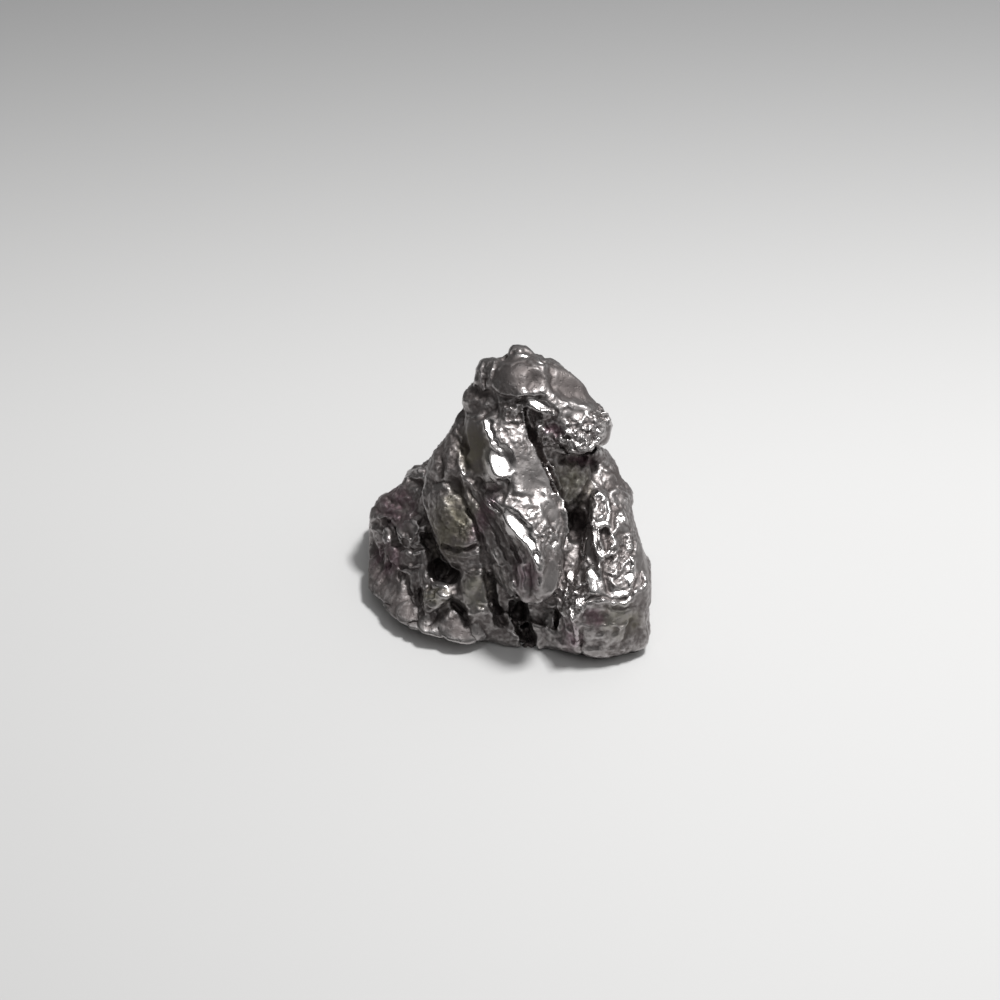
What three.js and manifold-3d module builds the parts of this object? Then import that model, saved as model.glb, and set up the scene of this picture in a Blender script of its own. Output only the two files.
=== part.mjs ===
// Iron meteorite: one natural piece of nickel-iron, sculpted by its fall into ridges, plates and
// hollows. It stands on a flat seat, with its rugged face towards -Y. Millimetres, +Z up.
//
// The stone is drawn as convex lumps that grow into each other, as the real one looks: each ridge,
// knob or plate of the face is the hull of a few corners, drawn back into the stone. Broad masses
// behind them give the stone its body and its plain back.
import * as THREE from 'three';
import { ConvexGeometry } from 'three/addons/geometries/ConvexGeometry.js';
import { mergeVertices } from 'three/addons/utils/BufferGeometryUtils.js';
import Module from 'manifold-3d';

// Driving dimensions
const STONE_WIDTH = 28.4;      // left to right, across the face
const DRAWN_WIDTH = 28.4;      // the same width in the drawing below, which sets its scale
const FACE_LEAN = 42;          // degrees by which the face leans back from upright
const GROUND_DEPTH = 10;       // thickness of the slab of ground that cuts the seat flat
const GROUND_REACH = 60;       // width of that slab, well past the stone
const WELD = 1e-4;             // corners closer than this are one corner

// Finish of the whole stone: dark bare iron, polished on its high points
const IRON = { color: 0x57534f, roughness: 0.34, metalness: 0.95 };

// Lumps of the face. A corner is [right, up, out]: right and up in the plane of the face as it
// leans back, and out of that plane, from the middle of the seat. The far side of a lump is its
// front moved back by its depth and drawn in by its taper.
const FACE_LUMPS = {
  // Beds: the metal that lies behind the lumps of the face and closes the gaps between them
  bed_left: {
    depth: 8,
    taper: 0.9,
    corners: [
      [-12.6, 7.2, 0.6], [-11, 9, 1], [-9, 10.4, 2.5], [-6.4, 10, 7.6], [-3, 7, 10.4],
      [-3, 1, 9.6], [-2.6, -4, 7.2], [-6, -5.2, 6.2], [-9.8, -4.4, 4.6], [-13.2, 1, 1],
      [-8.6, 3, 5.2], [-12.8, 4, 1.2], [-13.5, 5.9, 1.3], [-12, 5.2, 3.2], [-12.2, 2.8, 3.4],
    ],
  },
  bed_rib: {
    depth: 5,
    taper: 0.9,
    corners: [
      [-6.2, 10.2, 9.8], [-2.2, 10.4, 12.4], [0.4, 10.6, 13.8], [-0.6, 8.2, 13.8],
      [-2.6, 3.8, 11.6], [-5.2, 5, 10.8], [-5.6, 8, 10.4],
    ],
  },
  bed_mid: {
    depth: 8,
    taper: 0.9,
    corners: [
      [-6, 13.4, 8.8], [-4.6, 14.8, 10.4], [-5.6, 12.4, 10.2], [-2.4, 17.2, 10.6],
      [1.4, 17.4, 11.2], [6, 14, 8.6], [8, 8, 7.2], [6.6, 3, 7.2], [4.8, 0, 9.4], [0, -1, 9.6],
      [-3, 2, 10.2], [-6, 9.4, 9], [-1, 9, 11.6], [2.8, 9, 11.4],
    ],
  },
  bed_head: {
    depth: 6,
    taper: 0.9,
    corners: [
      [-4.4, 17, 8], [-4, 18.8, 9], [-2.8, 20.6, 9.8], [0, 22, 10], [3.6, 21.6, 10],
      [7.6, 18, 9.4], [8.6, 15, 9.4], [4, 14.6, 10.2], [-1.6, 16.4, 11.2], [-5.2, 15.5, 8],
    ],
  },
  neck: {
    depth: 5,
    taper: 0.9,
    corners: [
      [-4.4, 18.2, 9.6], [-3.4, 19.2, 10.4], [-2.4, 20.4, 11.4], [-1, 20, 12.6],
      [-1.2, 16.4, 12.6], [-3, 16.8, 11.6], [-4.2, 16.8, 10.4],
    ],
  },
  // Head: a smooth dome with a nub on top, a knob on its left shoulder, and the brow and jaw on its right
  head: {
    depth: 6,
    taper: 0.75,
    corners: [
      [-1.9, 20.4, 12.2], [-1.2, 21.7, 11.6], [0.3, 22.4, 11.8], [2.4, 22.5, 11.6],
      [3.9, 21.8, 11.8], [4.6, 20.2, 12.9], [3.7, 18.5, 14.4], [0.9, 18.1, 15], [-1, 18.4, 14.2],
      [-2, 19.2, 13], [1.3, 20.4, 14.9], [2.8, 21, 13.9], [-0.4, 20.6, 13.9],
    ],
  },
  nub: {
    depth: 4,
    taper: 0.8,
    corners: [
      [-0.3, 22.7, 10.8], [0.1, 23.4, 10.4], [1.1, 23.6, 10.4], [2, 23.1, 10.5], [2.6, 22.3, 11.4],
      [1, 22.7, 12.2], [-0.2, 22.3, 11.8],
    ],
  },
  shoulder_knob: {
    depth: 5,
    taper: 0.8,
    corners: [
      [-3.2, 21.4, 10.8], [-2.9, 22.1, 10.2], [-1.2, 22.3, 10.6], [-0.8, 21.4, 12],
      [-2.3, 21, 12.3], [-3.3, 20, 11.2], [-3.8, 19.3, 10.8], [-1.8, 19.3, 12.4],
    ],
  },
  ear: {
    depth: 4,
    taper: 0.7,
    corners: [
      [-4.8, 18.6, 9.6], [-4.5, 19.2, 9.4], [-3.8, 19.3, 9.8], [-3.2, 18.4, 11], [-4.1, 17.3, 11],
      [-4.8, 17.4, 9.8],
    ],
  },
  brow: {
    depth: 6,
    taper: 0.8,
    corners: [
      [2.9, 18.3, 13.8], [3.8, 22.1, 10.6], [5.9, 20.7, 10.4], [8.1, 19.2, 10.2], [8.7, 18, 10.6],
      [7.4, 16.8, 13.2], [5, 17.9, 14], [3.8, 19.6, 13.6], [4.2, 21.1, 12.4],
    ],
  },
  jaw: {
    depth: 5.5,
    taper: 0.8,
    corners: [
      [8.4, 18.1, 10.8], [9.7, 17.1, 10.4], [10.3, 16.2, 10.8], [10, 14.7, 11], [9.3, 13.6, 11.8],
      [8, 13.1, 12.6], [6, 13.2, 13], [4.4, 14, 13.2], [3.2, 15.8, 13.6], [2.7, 17.6, 14.1],
      [5.2, 17.8, 14.2], [7.5, 16.9, 13.6], [9.2, 15.6, 13.2], [7.6, 14.4, 14], [5.4, 15, 14.4],
    ],
  },
  throat: {
    depth: 5,
    taper: 0.9,
    corners: [
      [-1.4, 18.2, 13], [2.2, 18.2, 13.9], [1.9, 15.9, 13.2], [0.6, 15.4, 13.5],
      [-1.6, 16.4, 12.9],
    ],
  },
  // Slab: the long plate down the middle of the face, with a sharp right edge
  slab_crown: {
    depth: 6,
    taper: 0.8,
    corners: [
      [-1.8, 16.8, 12.6], [0.4, 16.6, 13.6], [1.7, 15.9, 13.4], [2.5, 13.7, 13.3], [3.4, 12, 13.2],
      [-2.6, 15.9, 13.3], [-1.7, 13.6, 14.4], [-0.2, 10.4, 15.1], [0.7, 12.4, 14.6],
      [-3.6, 15.6, 12], [-4.6, 14.2, 11.4], [-4.8, 12.4, 11.3], [-4, 10.5, 12], [-1.9, 9.6, 13.8],
    ],
  },
  slab_side: {
    depth: 6,
    taper: 0.75,
    corners: [
      [0.5, 14.6, 13.8], [2.5, 13.7, 13.3], [3.8, 11.2, 13.1], [4.8, 9, 13], [5.4, 6.8, 13.1],
      [5.8, 4.8, 13.2], [5.4, 3.2, 13.7], [3.6, 3.6, 15], [3.2, 6.8, 14.8], [2.2, 9.6, 14.6],
      [0.4, 12, 14.6], [-0.2, 9.6, 14.6], [0.6, 7.4, 15],
    ],
  },
  slab_ridge: {
    depth: 6,
    taper: 0.7,
    corners: [
      [-2.6, 9, 13.3], [-0.6, 9.2, 14.4], [-1.6, 7.9, 14.6], [-0.2, 7, 15.3], [1, 5.9, 15.9],
      [2.2, 3.8, 16.2], [3, 1.8, 15.9], [3.6, 3.4, 15.2], [2.4, 6.6, 15], [-2.6, 6.6, 12.6],
      [-1.4, 4, 12.4], [0.2, 2, 13],
    ],
  },
  slab_foot: {
    depth: 6,
    taper: 0.8,
    corners: [
      [5.4, 3.4, 13.7], [5.2, 2.2, 13.9], [3.8, 3.2, 15.2], [4.3, 1.6, 15], [4.9, 0.4, 14.5],
      [4.9, -0.6, 14.2], [4, -1.7, 13.8], [2.8, -2.4, 13.6], [1.2, -2.2, 13.2], [0.5, -0.8, 13.1],
      [0.4, 2.2, 13.4], [2, 3.4, 15.8], [3, 1.2, 15.9], [2.9, -0.4, 15.2],
    ],
  },
  // Left flank: the crag below the head, the ridge that stands forward of it and the rib between them
  crag_high: {
    depth: 5,
    taper: 0.8,
    corners: [
      [-3.6, 17.8, 9.8], [-4.6, 17.5, 8.8], [-5.3, 16.7, 8.2], [-5.7, 15.1, 8.2],
      [-6.4, 14.2, 8.2], [-2, 17.6, 12.2], [-3.6, 16, 12], [-5, 14.2, 11], [-5.9, 13.4, 9.8],
    ],
  },
  crag_low: {
    depth: 5,
    taper: 0.8,
    corners: [
      [-5.9, 14.6, 8.6], [-6.5, 13.8, 8.2], [-7.8, 12.5, 7.4], [-8.5, 10.7, 7.2], [-8.6, 9.2, 8],
      [-7, 9.8, 9.6], [-5.6, 10, 11.2], [-4.2, 10.4, 11.8], [-4.8, 12.6, 11.2], [-5.2, 14, 10.6],
      [-6.6, 12.2, 10],
    ],
  },
  flank_top: {
    depth: 6,
    taper: 0.8,
    corners: [
      [-8.9, 8.9, 7.6], [-8.7, 7.4, 7.8], [-8, 5.6, 8.6], [-7.7, 9.8, 8.4], [-6.4, 9.6, 10],
      [-5.6, 8.6, 10.8], [-6.4, 6.8, 11.2], [-5, 6.4, 11.4], [-5.2, 5, 11.6], [-7, 5, 10.2],
    ],
  },
  flank_low: {
    depth: 6,
    taper: 0.8,
    corners: [
      [-8, 5.8, 8.6], [-7.5, 4.6, 8.9], [-7.2, 3.2, 9.2], [-5.7, 1, 10], [-6.4, 6.2, 11],
      [-5, 5.6, 11.7], [-4, 3.8, 12.1], [-2.5, 3, 11.8], [-2.2, 1.8, 11.4], [-4.2, 1, 11],
      [-5.4, 3.4, 11.4],
    ],
  },
  rib: {
    depth: 5,
    taper: 0.8,
    corners: [
      [-4.8, 9.7, 11], [-4.2, 10.4, 11.4], [-2.6, 9.2, 12.6], [-1.6, 7.6, 13.2], [-0.6, 4, 13],
      [-1.2, 2.6, 12.2], [-2.4, 2.6, 11.8], [-4.2, 4.8, 11.6], [-4.6, 7, 11.4], [-3.2, 6.8, 12.4],
    ],
  },
  rib_low: {
    depth: 5,
    taper: 0.8,
    corners: [
      [-1.6, 3.2, 12.4], [0.4, 2.2, 13.2], [0.6, -0.8, 12.8], [0.2, -1.8, 11.8], [-1.6, 0.2, 10.6],
      [-2.3, 2, 11.2],
    ],
  },
  // Lower left: a column, a knob and the feet that reach the ground
  column: {
    depth: 5,
    taper: 0.85,
    corners: [
      [-5, 1.1, 10.2], [-2.5, 1.4, 11.5], [-2.3, -1, 11], [-1.7, -3.4, 9.8], [-1, -5.2, 8.4],
      [-2.4, -5.4, 8.5], [-4.4, -3.2, 9.4], [-5.1, -1.4, 9.8], [-3.6, -0.4, 11.5],
    ],
  },
  knob: {
    depth: 5,
    taper: 0.8,
    corners: [
      [-9, 0.9, 6.8], [-8.3, 1.5, 7], [-6.6, 0.9, 8.2], [-5.2, -0.2, 9.2], [-5, -1.9, 9.5],
      [-5.7, -2.8, 9.5], [-7.4, -3.7, 9.1], [-8.3, -3.4, 8.8], [-9.1, -2.4, 8], [-8.8, -0.9, 8],
      [-6.8, -1.2, 10],
    ],
  },
  foot_left: {
    depth: 5,
    taper: 0.8,
    corners: [
      [-5.6, -2.4, 8.6], [-4.4, -2.6, 9], [-8.8, -3.4, 7.8], [-8.6, -4.8, 7], [-6.3, -6.1, 7],
      [-3.8, -6.6, 7.3], [-1.8, -6.3, 7.4], [-5.4, -3.2, 8.9], [-3.4, -4, 9.2], [-1.8, -4.8, 8.8],
      [-4.4, -5.2, 9], [-6.6, -3.9, 8.6],
    ],
  },
  foot_mid: {
    depth: 4,
    taper: 0.85,
    corners: [
      [-2.2, -5, 8.4], [-2, -6.2, 7.6], [-0.6, -6.6, 7.5], [1.2, -7, 7.8], [3.6, -7.1, 8],
      [5.2, -7.3, 8.2], [0.4, -5, 8.6], [-0.8, -3, 9.2], [3.4, -5.9, 8.6], [5, -5, 9.4],
    ],
  },
  // Wing: the low plate that sticks out on the left
  wing_crest: {
    depth: 5,
    taper: 0.8,
    corners: [
      [-8.2, 11.2, 3.6], [-9.5, 11.4, 2.6], [-10.5, 10.5, 2.2], [-11.4, 9, 2.4], [-10.4, 7.6, 4.4],
      [-8.8, 8.4, 5.4], [-8.3, 9.6, 5.4],
    ],
  },
  wing_horn: {
    depth: 5,
    taper: 0.8,
    corners: [
      [-10.6, 9.8, 2.4], [-11.8, 9, 1.8], [-13, 8.5, 1.2], [-14.1, 7.1, 1], [-14.3, 6.2, 1.4],
      [-12.6, 6, 3.8], [-10.4, 6.4, 5.2], [-9, 7.4, 5.2], [-10.2, 8, 4.2],
    ],
  },
  wing_shield: {
    depth: 5,
    taper: 0.8,
    corners: [
      [-11.8, 5.8, 4.4], [-9.8, 6.6, 5.4], [-8.4, 5.6, 6.4], [-8.6, 4, 6.8], [-10, 3.4, 6.4],
      [-11.3, 4, 5.4], [-10.4, 5.2, 6.4],
    ],
  },
  wing_rim: {
    depth: 5,
    taper: 0.8,
    corners: [
      [-14.2, 6.2, 1.4], [-13.4, 5.9, 2.6], [-12.2, 5, 4], [-12, 2.4, 4.2], [-13.7, 4.4, 1.8],
      [-13.8, 2.4, 1.8], [-13.3, 0.6, 2.6],
    ],
  },
  wing_plate: {
    depth: 5,
    taper: 0.8,
    corners: [
      [-12.2, 3.4, 4.4], [-9.8, 3.4, 6.2], [-8, 3.2, 7], [-7.6, 1.6, 7.4], [-9.2, 1.2, 7],
      [-11.4, 1.2, 5.4],
    ],
  },
  wing_low: {
    depth: 5,
    taper: 0.8,
    corners: [
      [-13.6, 2.6, 2], [-14.3, 0.7, 1.4], [-14.2, -0.5, 1.6], [-12.2, -2.5, 3.8], [-9.2, 2, 6.6],
      [-8.4, 0, 7], [-9.2, -2.4, 7], [-11, -0.4, 5.8], [-12.4, 1, 4.2],
    ],
  },
  wing_foot: {
    depth: 5,
    taper: 0.8,
    corners: [
      [-12.3, -2.4, 3.8], [-12, -3.8, 4.6], [-11, -4.8, 5.6], [-9, -5.3, 6.2], [-6.6, -6, 7],
      [-9, -2.2, 7.2], [-8.4, -3.8, 7.6], [-10.8, -2.4, 6],
    ],
  },
  // Right side: a rough ridge, the block at its foot, and the hollow between it and the slab
  ridge_left: {
    depth: 6,
    taper: 0.8,
    corners: [
      [7.2, 0.6, 12.4], [7.3, 3.6, 11.8], [7.7, 6.5, 11], [7.9, 8.6, 10.4], [8.6, 9.3, 9.8],
      [9.6, 9, 9.4], [10, 6.4, 10.8], [10.1, 3.4, 12], [10.2, 0.4, 12.8], [8.6, 6, 11.8],
      [8.4, 2.6, 12.8],
    ],
  },
  ridge_right: {
    depth: 6,
    taper: 0.8,
    corners: [
      [10, 9.2, 8.8], [11.9, 8.8, 6.8], [12.4, 7, 6.8], [13, 3.6, 8.2], [14, 0.6, 9.6],
      [13.7, -0.8, 11.8], [10, -0.4, 13.2], [10.1, 4, 11.8], [11.6, 5.8, 10.4], [12.4, 2.2, 11.2],
    ],
  },
  apron: {
    depth: 5,
    taper: 0.85,
    corners: [
      [5.2, -2.8, 12.4], [6.4, -3.4, 13.4], [9.5, -1.7, 13.9], [13.7, -0.9, 11.9], [12.4, 1.2, 12],
      [9, 1.4, 13.2], [7, 1.8, 12.2], [6.2, -0.2, 12.2],
    ],
  },
  block: {
    depth: 7,
    taper: 0.8,
    corners: [
      [4.2, -7.1, 8.1], [6.9, -7.9, 9], [9.4, -8.1, 9.4], [13.4, -7.2, 8.4], [5, -2.8, 12.6],
      [6.4, -3.4, 13.4], [9.5, -1.7, 13.9], [13.8, -0.9, 11.9], [13.5, -4, 9.4],
      [14.1, -0.4, 10.2], [13.6, -6.2, 8.4], [6.8, -5.4, 12.4], [10, -5.2, 12.6],
    ],
  },
  hollow_floor: {
    depth: 5,
    taper: 0.9,
    corners: [
      [4.6, -3, 11.8], [6.6, -2, 12.4], [7.4, 1.6, 11], [5.4, 2, 10.4], [4.4, -0.8, 11],
      [6.6, 4.2, 8.8], [5.4, 4.4, 8.6], [7.6, 4.6, 9],
    ],
  },
  back_wall: {
    depth: 5,
    taper: 0.9,
    corners: [
      [5, 5.6, 9], [3.2, 14, 9.6], [5.6, 13.4, 9.6], [7.8, 13.2, 8.6], [8.6, 9.4, 8.8],
      [6.4, 6.8, 8.9], [5.2, 8, 9.8], [4.4, 10.6, 10.4], [8, 5.2, 8.6],
    ],
  },
  right_shoulder: {
    depth: 5,
    taper: 0.8,
    corners: [
      [8, 13.6, 6.6], [9.4, 13.4, 5.6], [10.3, 12.3, 5], [11.1, 10.7, 5.2], [10.2, 9, 7.8],
      [8.4, 9.2, 8.8], [9.5, 11.5, 7.2],
    ],
  },
  right_haunch: {
    depth: 5,
    taper: 0.8,
    corners: [
      [10.7, 10.6, 5.4], [12.1, 9.3, 4.8], [12.5, 8, 5], [12.3, 6.4, 5.4], [11, 7.6, 8],
      [10, 9.2, 7.8],
    ],
  },
};

// Broad masses of the body and the back. A corner is [x, y, z], with z from the ground.
const BODY_MASSES = {
  core_low: [
    [-10, -3, 0.6], [-6, -7.5, 0.6], [0, -8.6, 0.6], [5, -9.6, 0.6], [11, -9, 0.6],
    [12.5, -3, 0.6], [11, 5, 0.6], [5, 10, 0.6], [-4, 10, 0.6], [-11, 4, 0.6], [-9, -1, 6],
    [-5, -6, 7], [0, -7.5, 8], [9, -8, 6], [11, -2, 9], [10, 4, 9], [3, 9, 12], [-5, 8, 11],
    [-9, 4, 8], [2, -4, 12],
  ],
  core_high: [
    [-6, 1, 11], [-2, -3, 13], [3, -4, 13], [7, -1, 12], [8, 4, 13], [5, 9, 12], [-3, 9, 11],
    [-5, 4, 15], [-3, 4, 20], [-1, 8, 21], [4, 8, 21], [3.5, 3, 22], [0, 2, 22], [7.5, 5, 17],
    [7, 2, 18],
  ],
  back_hump: [
    [-3, 10.2, -0.6], [4, 10.8, -0.6], [-4, 10.6, 3], [3, 11.6, 4], [7, 9.5, 3], [5, 10.6, 10],
    [-1, 10.9, 10], [2, 10.2, 16], [-4, 9.4, 13], [6, 8.4, 14], [-3, 8, 1], [4, 9, 1], [0, 4, 8],
  ],
  back_left: [
    [-11.8, 5, 1.5], [-10, 8.6, 3], [-5, 10.2, 2], [-9, 8.2, 8], [-6, 9, 11], [-12.2, 4.6, 5],
    [-4, 9.6, 7], [-8, 5, 11], [-7, 3, 1],
  ],
  back_right: [
    [11.7, 4, 1.5], [12.4, 1, 3], [9.8, 7.8, 3], [10.8, 6.8, 8], [9, 8.6, 6], [11.8, 3, 9],
    [8.4, 7, 12], [6, 4, 2], [6, 7.6, 15],
  ],
  back_neck: [
    [-1.4, 9.2, 15], [3.8, 9.8, 16], [5.4, 8.6, 20], [1, 9.6, 22.4], [-2.2, 8.4, 20], [1, 4, 16],
    [7, 6.6, 15], [-4.2, 7.4, 16],
  ],
  crown_back: [
    [-3, 6.8, 22], [0.4, 8.2, 23.7], [2.2, 8, 23.2], [4.8, 7.2, 22], [7.4, 6.6, 19.9],
    [8.6, 5.4, 18.6], [-4.4, 6.6, 19.4], [-3.6, 9, 17.6], [-0.4, 10.8, 20.2], [3, 11, 19.8],
    [6.6, 10, 17.6], [8.2, 8, 16.4], [-4.6, 8.6, 14.5], [0.5, 11.4, 14.5], [5.5, 10.6, 13],
    [8, 7.8, 12.6], [0, 6, 14],
  ],
  back_ridge: [
    [-1.5, 11, 17], [0.8, 11.6, 16], [-4.5, 10.8, 10.5], [-2.2, 12, 10], [-7.2, 9.2, 3],
    [-4.8, 11.6, 3.5], [-6, 10.4, 6.5], [-3.6, 9, 8],
  ],
  back_plate: [
    [3.2, 11.4, 15], [6.2, 10.6, 14], [4, 12, 9], [7.2, 10.6, 7.5], [5.6, 11.2, 2], [2.4, 11.8, 3],
    [5, 8.5, 8],
  ],
  back_knob: [
    [-1.4, 11.6, 6], [0.6, 12.1, 5.4], [1.2, 12, 2.4], [-1.6, 11.9, 1.6], [-2.4, 11.2, 3.6],
    [0, 9, 4],
  ],
  right_buttress: [
    [12, 3.4, 7.5], [10.6, 6.4, 8.5], [12.7, 1, 4], [11.6, 5.4, 1.5], [9.6, 8.4, 4],
    [13, 2.4, 1.5], [9, 4, 5],
  ],
  left_back_knob: [
    [-12.4, 4.2, 5.6], [-11, 6.8, 6.4], [-9.2, 9, 5], [-10.4, 8.2, 2], [-12.6, 4.8, 2.2],
    [-8, 6, 6],
  ],
};

// A corner of the face in the stone's own directions
function fromFace([right, up, out]) {
  const lean = THREE.MathUtils.degToRad(FACE_LEAN);
  const y = up * Math.sin(lean) - out * Math.cos(lean);
  const z = up * Math.cos(lean) + out * Math.sin(lean);
  return new THREE.Vector3(right, y, z);
}

// Middle of a list of corners
function middle(corners) {
  return [0, 1, 2].map((axis) => corners.reduce((sum, corner) => sum + corner[axis], 0) / corners.length);
}

// Front and back corners of one lump of the face
function lumpCorners({ depth, taper, corners }) {
  const [midRight, midUp, midOut] = middle(corners);
  const back = corners.map(([right, up, out]) => [
    midRight + (right - midRight) * taper,
    midUp + (up - midUp) * taper,
    midOut + (out - midOut) * taper - depth,
  ]);
  return [...corners, ...back].map(fromFace);
}

const wasm = await Module();
wasm.setup();

// Closed solid from a geometry whose triangles share their corners once merged
function solidOf(geometry) {
  geometry.deleteAttribute('normal');
  geometry.deleteAttribute('uv');
  const merged = mergeVertices(geometry, WELD);
  return new wasm.Manifold(new wasm.Mesh({
    numProp: 3,
    vertProperties: new Float32Array(merged.attributes.position.array),
    triVerts: new Uint32Array(merged.index.array),
  }));
}

function hullOf(corners) {
  return solidOf(new ConvexGeometry(corners));
}

// The lumps and masses grown together
function grownTogether() {
  const lumps = Object.values(FACE_LUMPS).map((lump) => hullOf(lumpCorners(lump)));
  const masses = Object.values(BODY_MASSES).map((corners) => {
    return hullOf(corners.map(([x, y, z]) => new THREE.Vector3(x, y, z)));
  });
  return [...masses, ...lumps].reduce((stone, piece) => stone.add(piece));
}

// The slab of ground: all that is below z = 0 is cut away, which leaves the flat seat
function ground() {
  const slab = new THREE.BoxGeometry(GROUND_REACH, GROUND_REACH, GROUND_DEPTH);
  slab.translate(0, 0, -GROUND_DEPTH / 2);
  return solidOf(slab);
}

// Triangle lists of the separate skins of a solid: its outside, and any hollow sealed inside it
function skins(triVerts) {
  const parent = new Map();
  const rootOf = (vertex) => {
    let root = vertex;
    while (parent.has(root)) root = parent.get(root);
    return root;
  };
  const join = (a, b) => {
    const [rootA, rootB] = [rootOf(a), rootOf(b)];
    if (rootA !== rootB) parent.set(rootA, rootB);
  };
  for (let i = 0; i < triVerts.length; i += 3) {
    join(triVerts[i], triVerts[i + 1]);
    join(triVerts[i], triVerts[i + 2]);
  }
  const found = new Map();
  for (let i = 0; i < triVerts.length; i += 3) {
    const root = rootOf(triVerts[i]);
    if (!found.has(root)) found.set(root, []);
    found.get(root).push(triVerts[i], triVerts[i + 1], triVerts[i + 2]);
  }
  return [...found.values()];
}

// Outside skin of the stone: the iron is sound all through, so it holds no sealed hollow
function outsideOf(solid) {
  const { vertProperties, triVerts } = solid.getMesh();
  const longest = skins(triVerts).reduce((a, b) => (b.length > a.length ? b : a));
  const geometry = new THREE.BufferGeometry();
  geometry.setAttribute('position', new THREE.BufferAttribute(new Float32Array(vertProperties), 3));
  geometry.setIndex(longest);
  return mergeVertices(geometry.toNonIndexed(), WELD);
}

// The stone at its real width, its middle over the origin and its seat on z = 0
function stoneGeometry() {
  const geometry = outsideOf(grownTogether().subtract(ground()));
  const scale = STONE_WIDTH / DRAWN_WIDTH;
  geometry.scale(scale, scale, scale);
  geometry.computeBoundingBox();
  const centre = geometry.boundingBox.getCenter(new THREE.Vector3());
  geometry.translate(-centre.x, -centre.y, -geometry.boundingBox.min.z);
  geometry.computeVertexNormals();
  return geometry;
}

function ironFinish() {
  return new THREE.MeshStandardMaterial({
    color: IRON.color,
    roughness: IRON.roughness,
    metalness: IRON.metalness,
    flatShading: true,
  });
}

const meteorite = new THREE.Mesh(stoneGeometry(), ironFinish());
meteorite.name = 'meteorite';

const part = new THREE.Group();
part.add(meteorite);

export default part;
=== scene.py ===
# %% [markdown]
# # An iron meteorite
# A thumb-sized piece of nickel-iron that melted and tore on its way down. It is one solid piece of
# metal: a smooth head with a rough jaw, a long slab down the face, ridges and hollows beside it, and
# a low dark wing on the left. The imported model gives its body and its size. This file gives it its
# skin: first the broad hollows, then the ridges and glinting facets, then the colours of the iron.

# %% Load the frame
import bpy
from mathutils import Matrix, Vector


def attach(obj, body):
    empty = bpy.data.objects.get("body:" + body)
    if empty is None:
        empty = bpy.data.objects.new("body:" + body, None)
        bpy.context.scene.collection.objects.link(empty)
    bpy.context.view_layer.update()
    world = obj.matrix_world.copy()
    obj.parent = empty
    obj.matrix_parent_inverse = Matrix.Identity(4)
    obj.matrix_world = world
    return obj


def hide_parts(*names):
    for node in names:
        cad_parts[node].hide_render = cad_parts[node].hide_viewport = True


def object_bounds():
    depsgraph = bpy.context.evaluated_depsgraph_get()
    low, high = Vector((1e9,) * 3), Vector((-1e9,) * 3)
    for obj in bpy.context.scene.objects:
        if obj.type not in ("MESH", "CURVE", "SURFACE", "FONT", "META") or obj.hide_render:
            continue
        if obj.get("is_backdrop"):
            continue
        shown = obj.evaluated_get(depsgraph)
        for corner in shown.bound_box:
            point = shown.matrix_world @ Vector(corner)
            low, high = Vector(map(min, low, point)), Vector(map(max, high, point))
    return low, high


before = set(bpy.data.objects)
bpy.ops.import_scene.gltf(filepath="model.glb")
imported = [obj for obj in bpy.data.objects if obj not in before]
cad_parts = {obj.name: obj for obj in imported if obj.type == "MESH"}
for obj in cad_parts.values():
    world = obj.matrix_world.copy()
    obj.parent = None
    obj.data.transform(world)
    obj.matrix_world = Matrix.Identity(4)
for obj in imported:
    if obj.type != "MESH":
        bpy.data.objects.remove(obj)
cad_low, cad_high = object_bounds()
print("frame box in mm:", [round(1000 * (b - a), 2) for a, b in zip(cad_low, cad_high)])

# %% [markdown]
# ## Directions on the face
# The rugged face of the stone leans back 42 degrees, and looks straight at the camera. Every
# feature on it is easiest to place as it is seen: so far right, so far up, and so far out of the
# face. These three directions turn into the stone's own X, Y and Z by one rotation, so a table of
# three unit vectors does the work in both ways. Lengths are in millimetres until the very end.

# %% Turn face places into stone places, and back
import math

import bmesh
import bpy
import numpy as np
from mathutils import Vector, noise

MM = 0.001
LEAN = math.radians(42)
FACE_ORIGIN = np.array((0.1, 0.372, 0.0))
FACE_AXES = np.array([
    (1, 0, 0),
    (0, math.sin(LEAN), math.cos(LEAN)),
    (0, -math.cos(LEAN), math.sin(LEAN)),
])


def to_face(places):
    return (places - FACE_ORIGIN) @ FACE_AXES.T


def from_face(places):
    return places @ FACE_AXES + FACE_ORIGIN


# %% [markdown]
# ## The clay
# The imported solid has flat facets, like a stone knapped with a chisel. A voxel remesh turns it into
# an even net of small quads, which can then be pushed and pulled as clay is, and a few smoothing
# steps melt the chisel edges. A subdivision surface would keep the facets' uneven net, and a sculpt
# mode brush can't be written down in a script, so the net is moved with arrays of numbers instead.

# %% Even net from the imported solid
ROUGH_NET = 0.26
FINE_NET = 0.125


def mesh_after(mesh, *modifiers):
    holder = bpy.data.objects.new("holder", mesh)
    bpy.context.scene.collection.objects.link(holder)
    for kind, settings in modifiers:
        modifier = holder.modifiers.new(kind, kind)
        for name, value in settings.items():
            setattr(modifier, name, value)
    evaluated = holder.evaluated_get(bpy.context.evaluated_depsgraph_get())
    result = bpy.data.meshes.new_from_object(evaluated)
    bpy.data.objects.remove(holder)
    return result


def net_of(mesh, size, melt):
    remesh = ("REMESH", {"mode": "VOXEL", "voxel_size": size})
    smooth = ("SMOOTH", {"factor": 0.5, "iterations": melt})
    return mesh_after(mesh, remesh, smooth)


def vertex_numbers(mesh, name):
    numbers = np.empty(len(mesh.vertices) * 3, np.float32)
    mesh.vertices.foreach_get(name, numbers)
    return numbers.reshape(-1, 3).astype(float)


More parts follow.
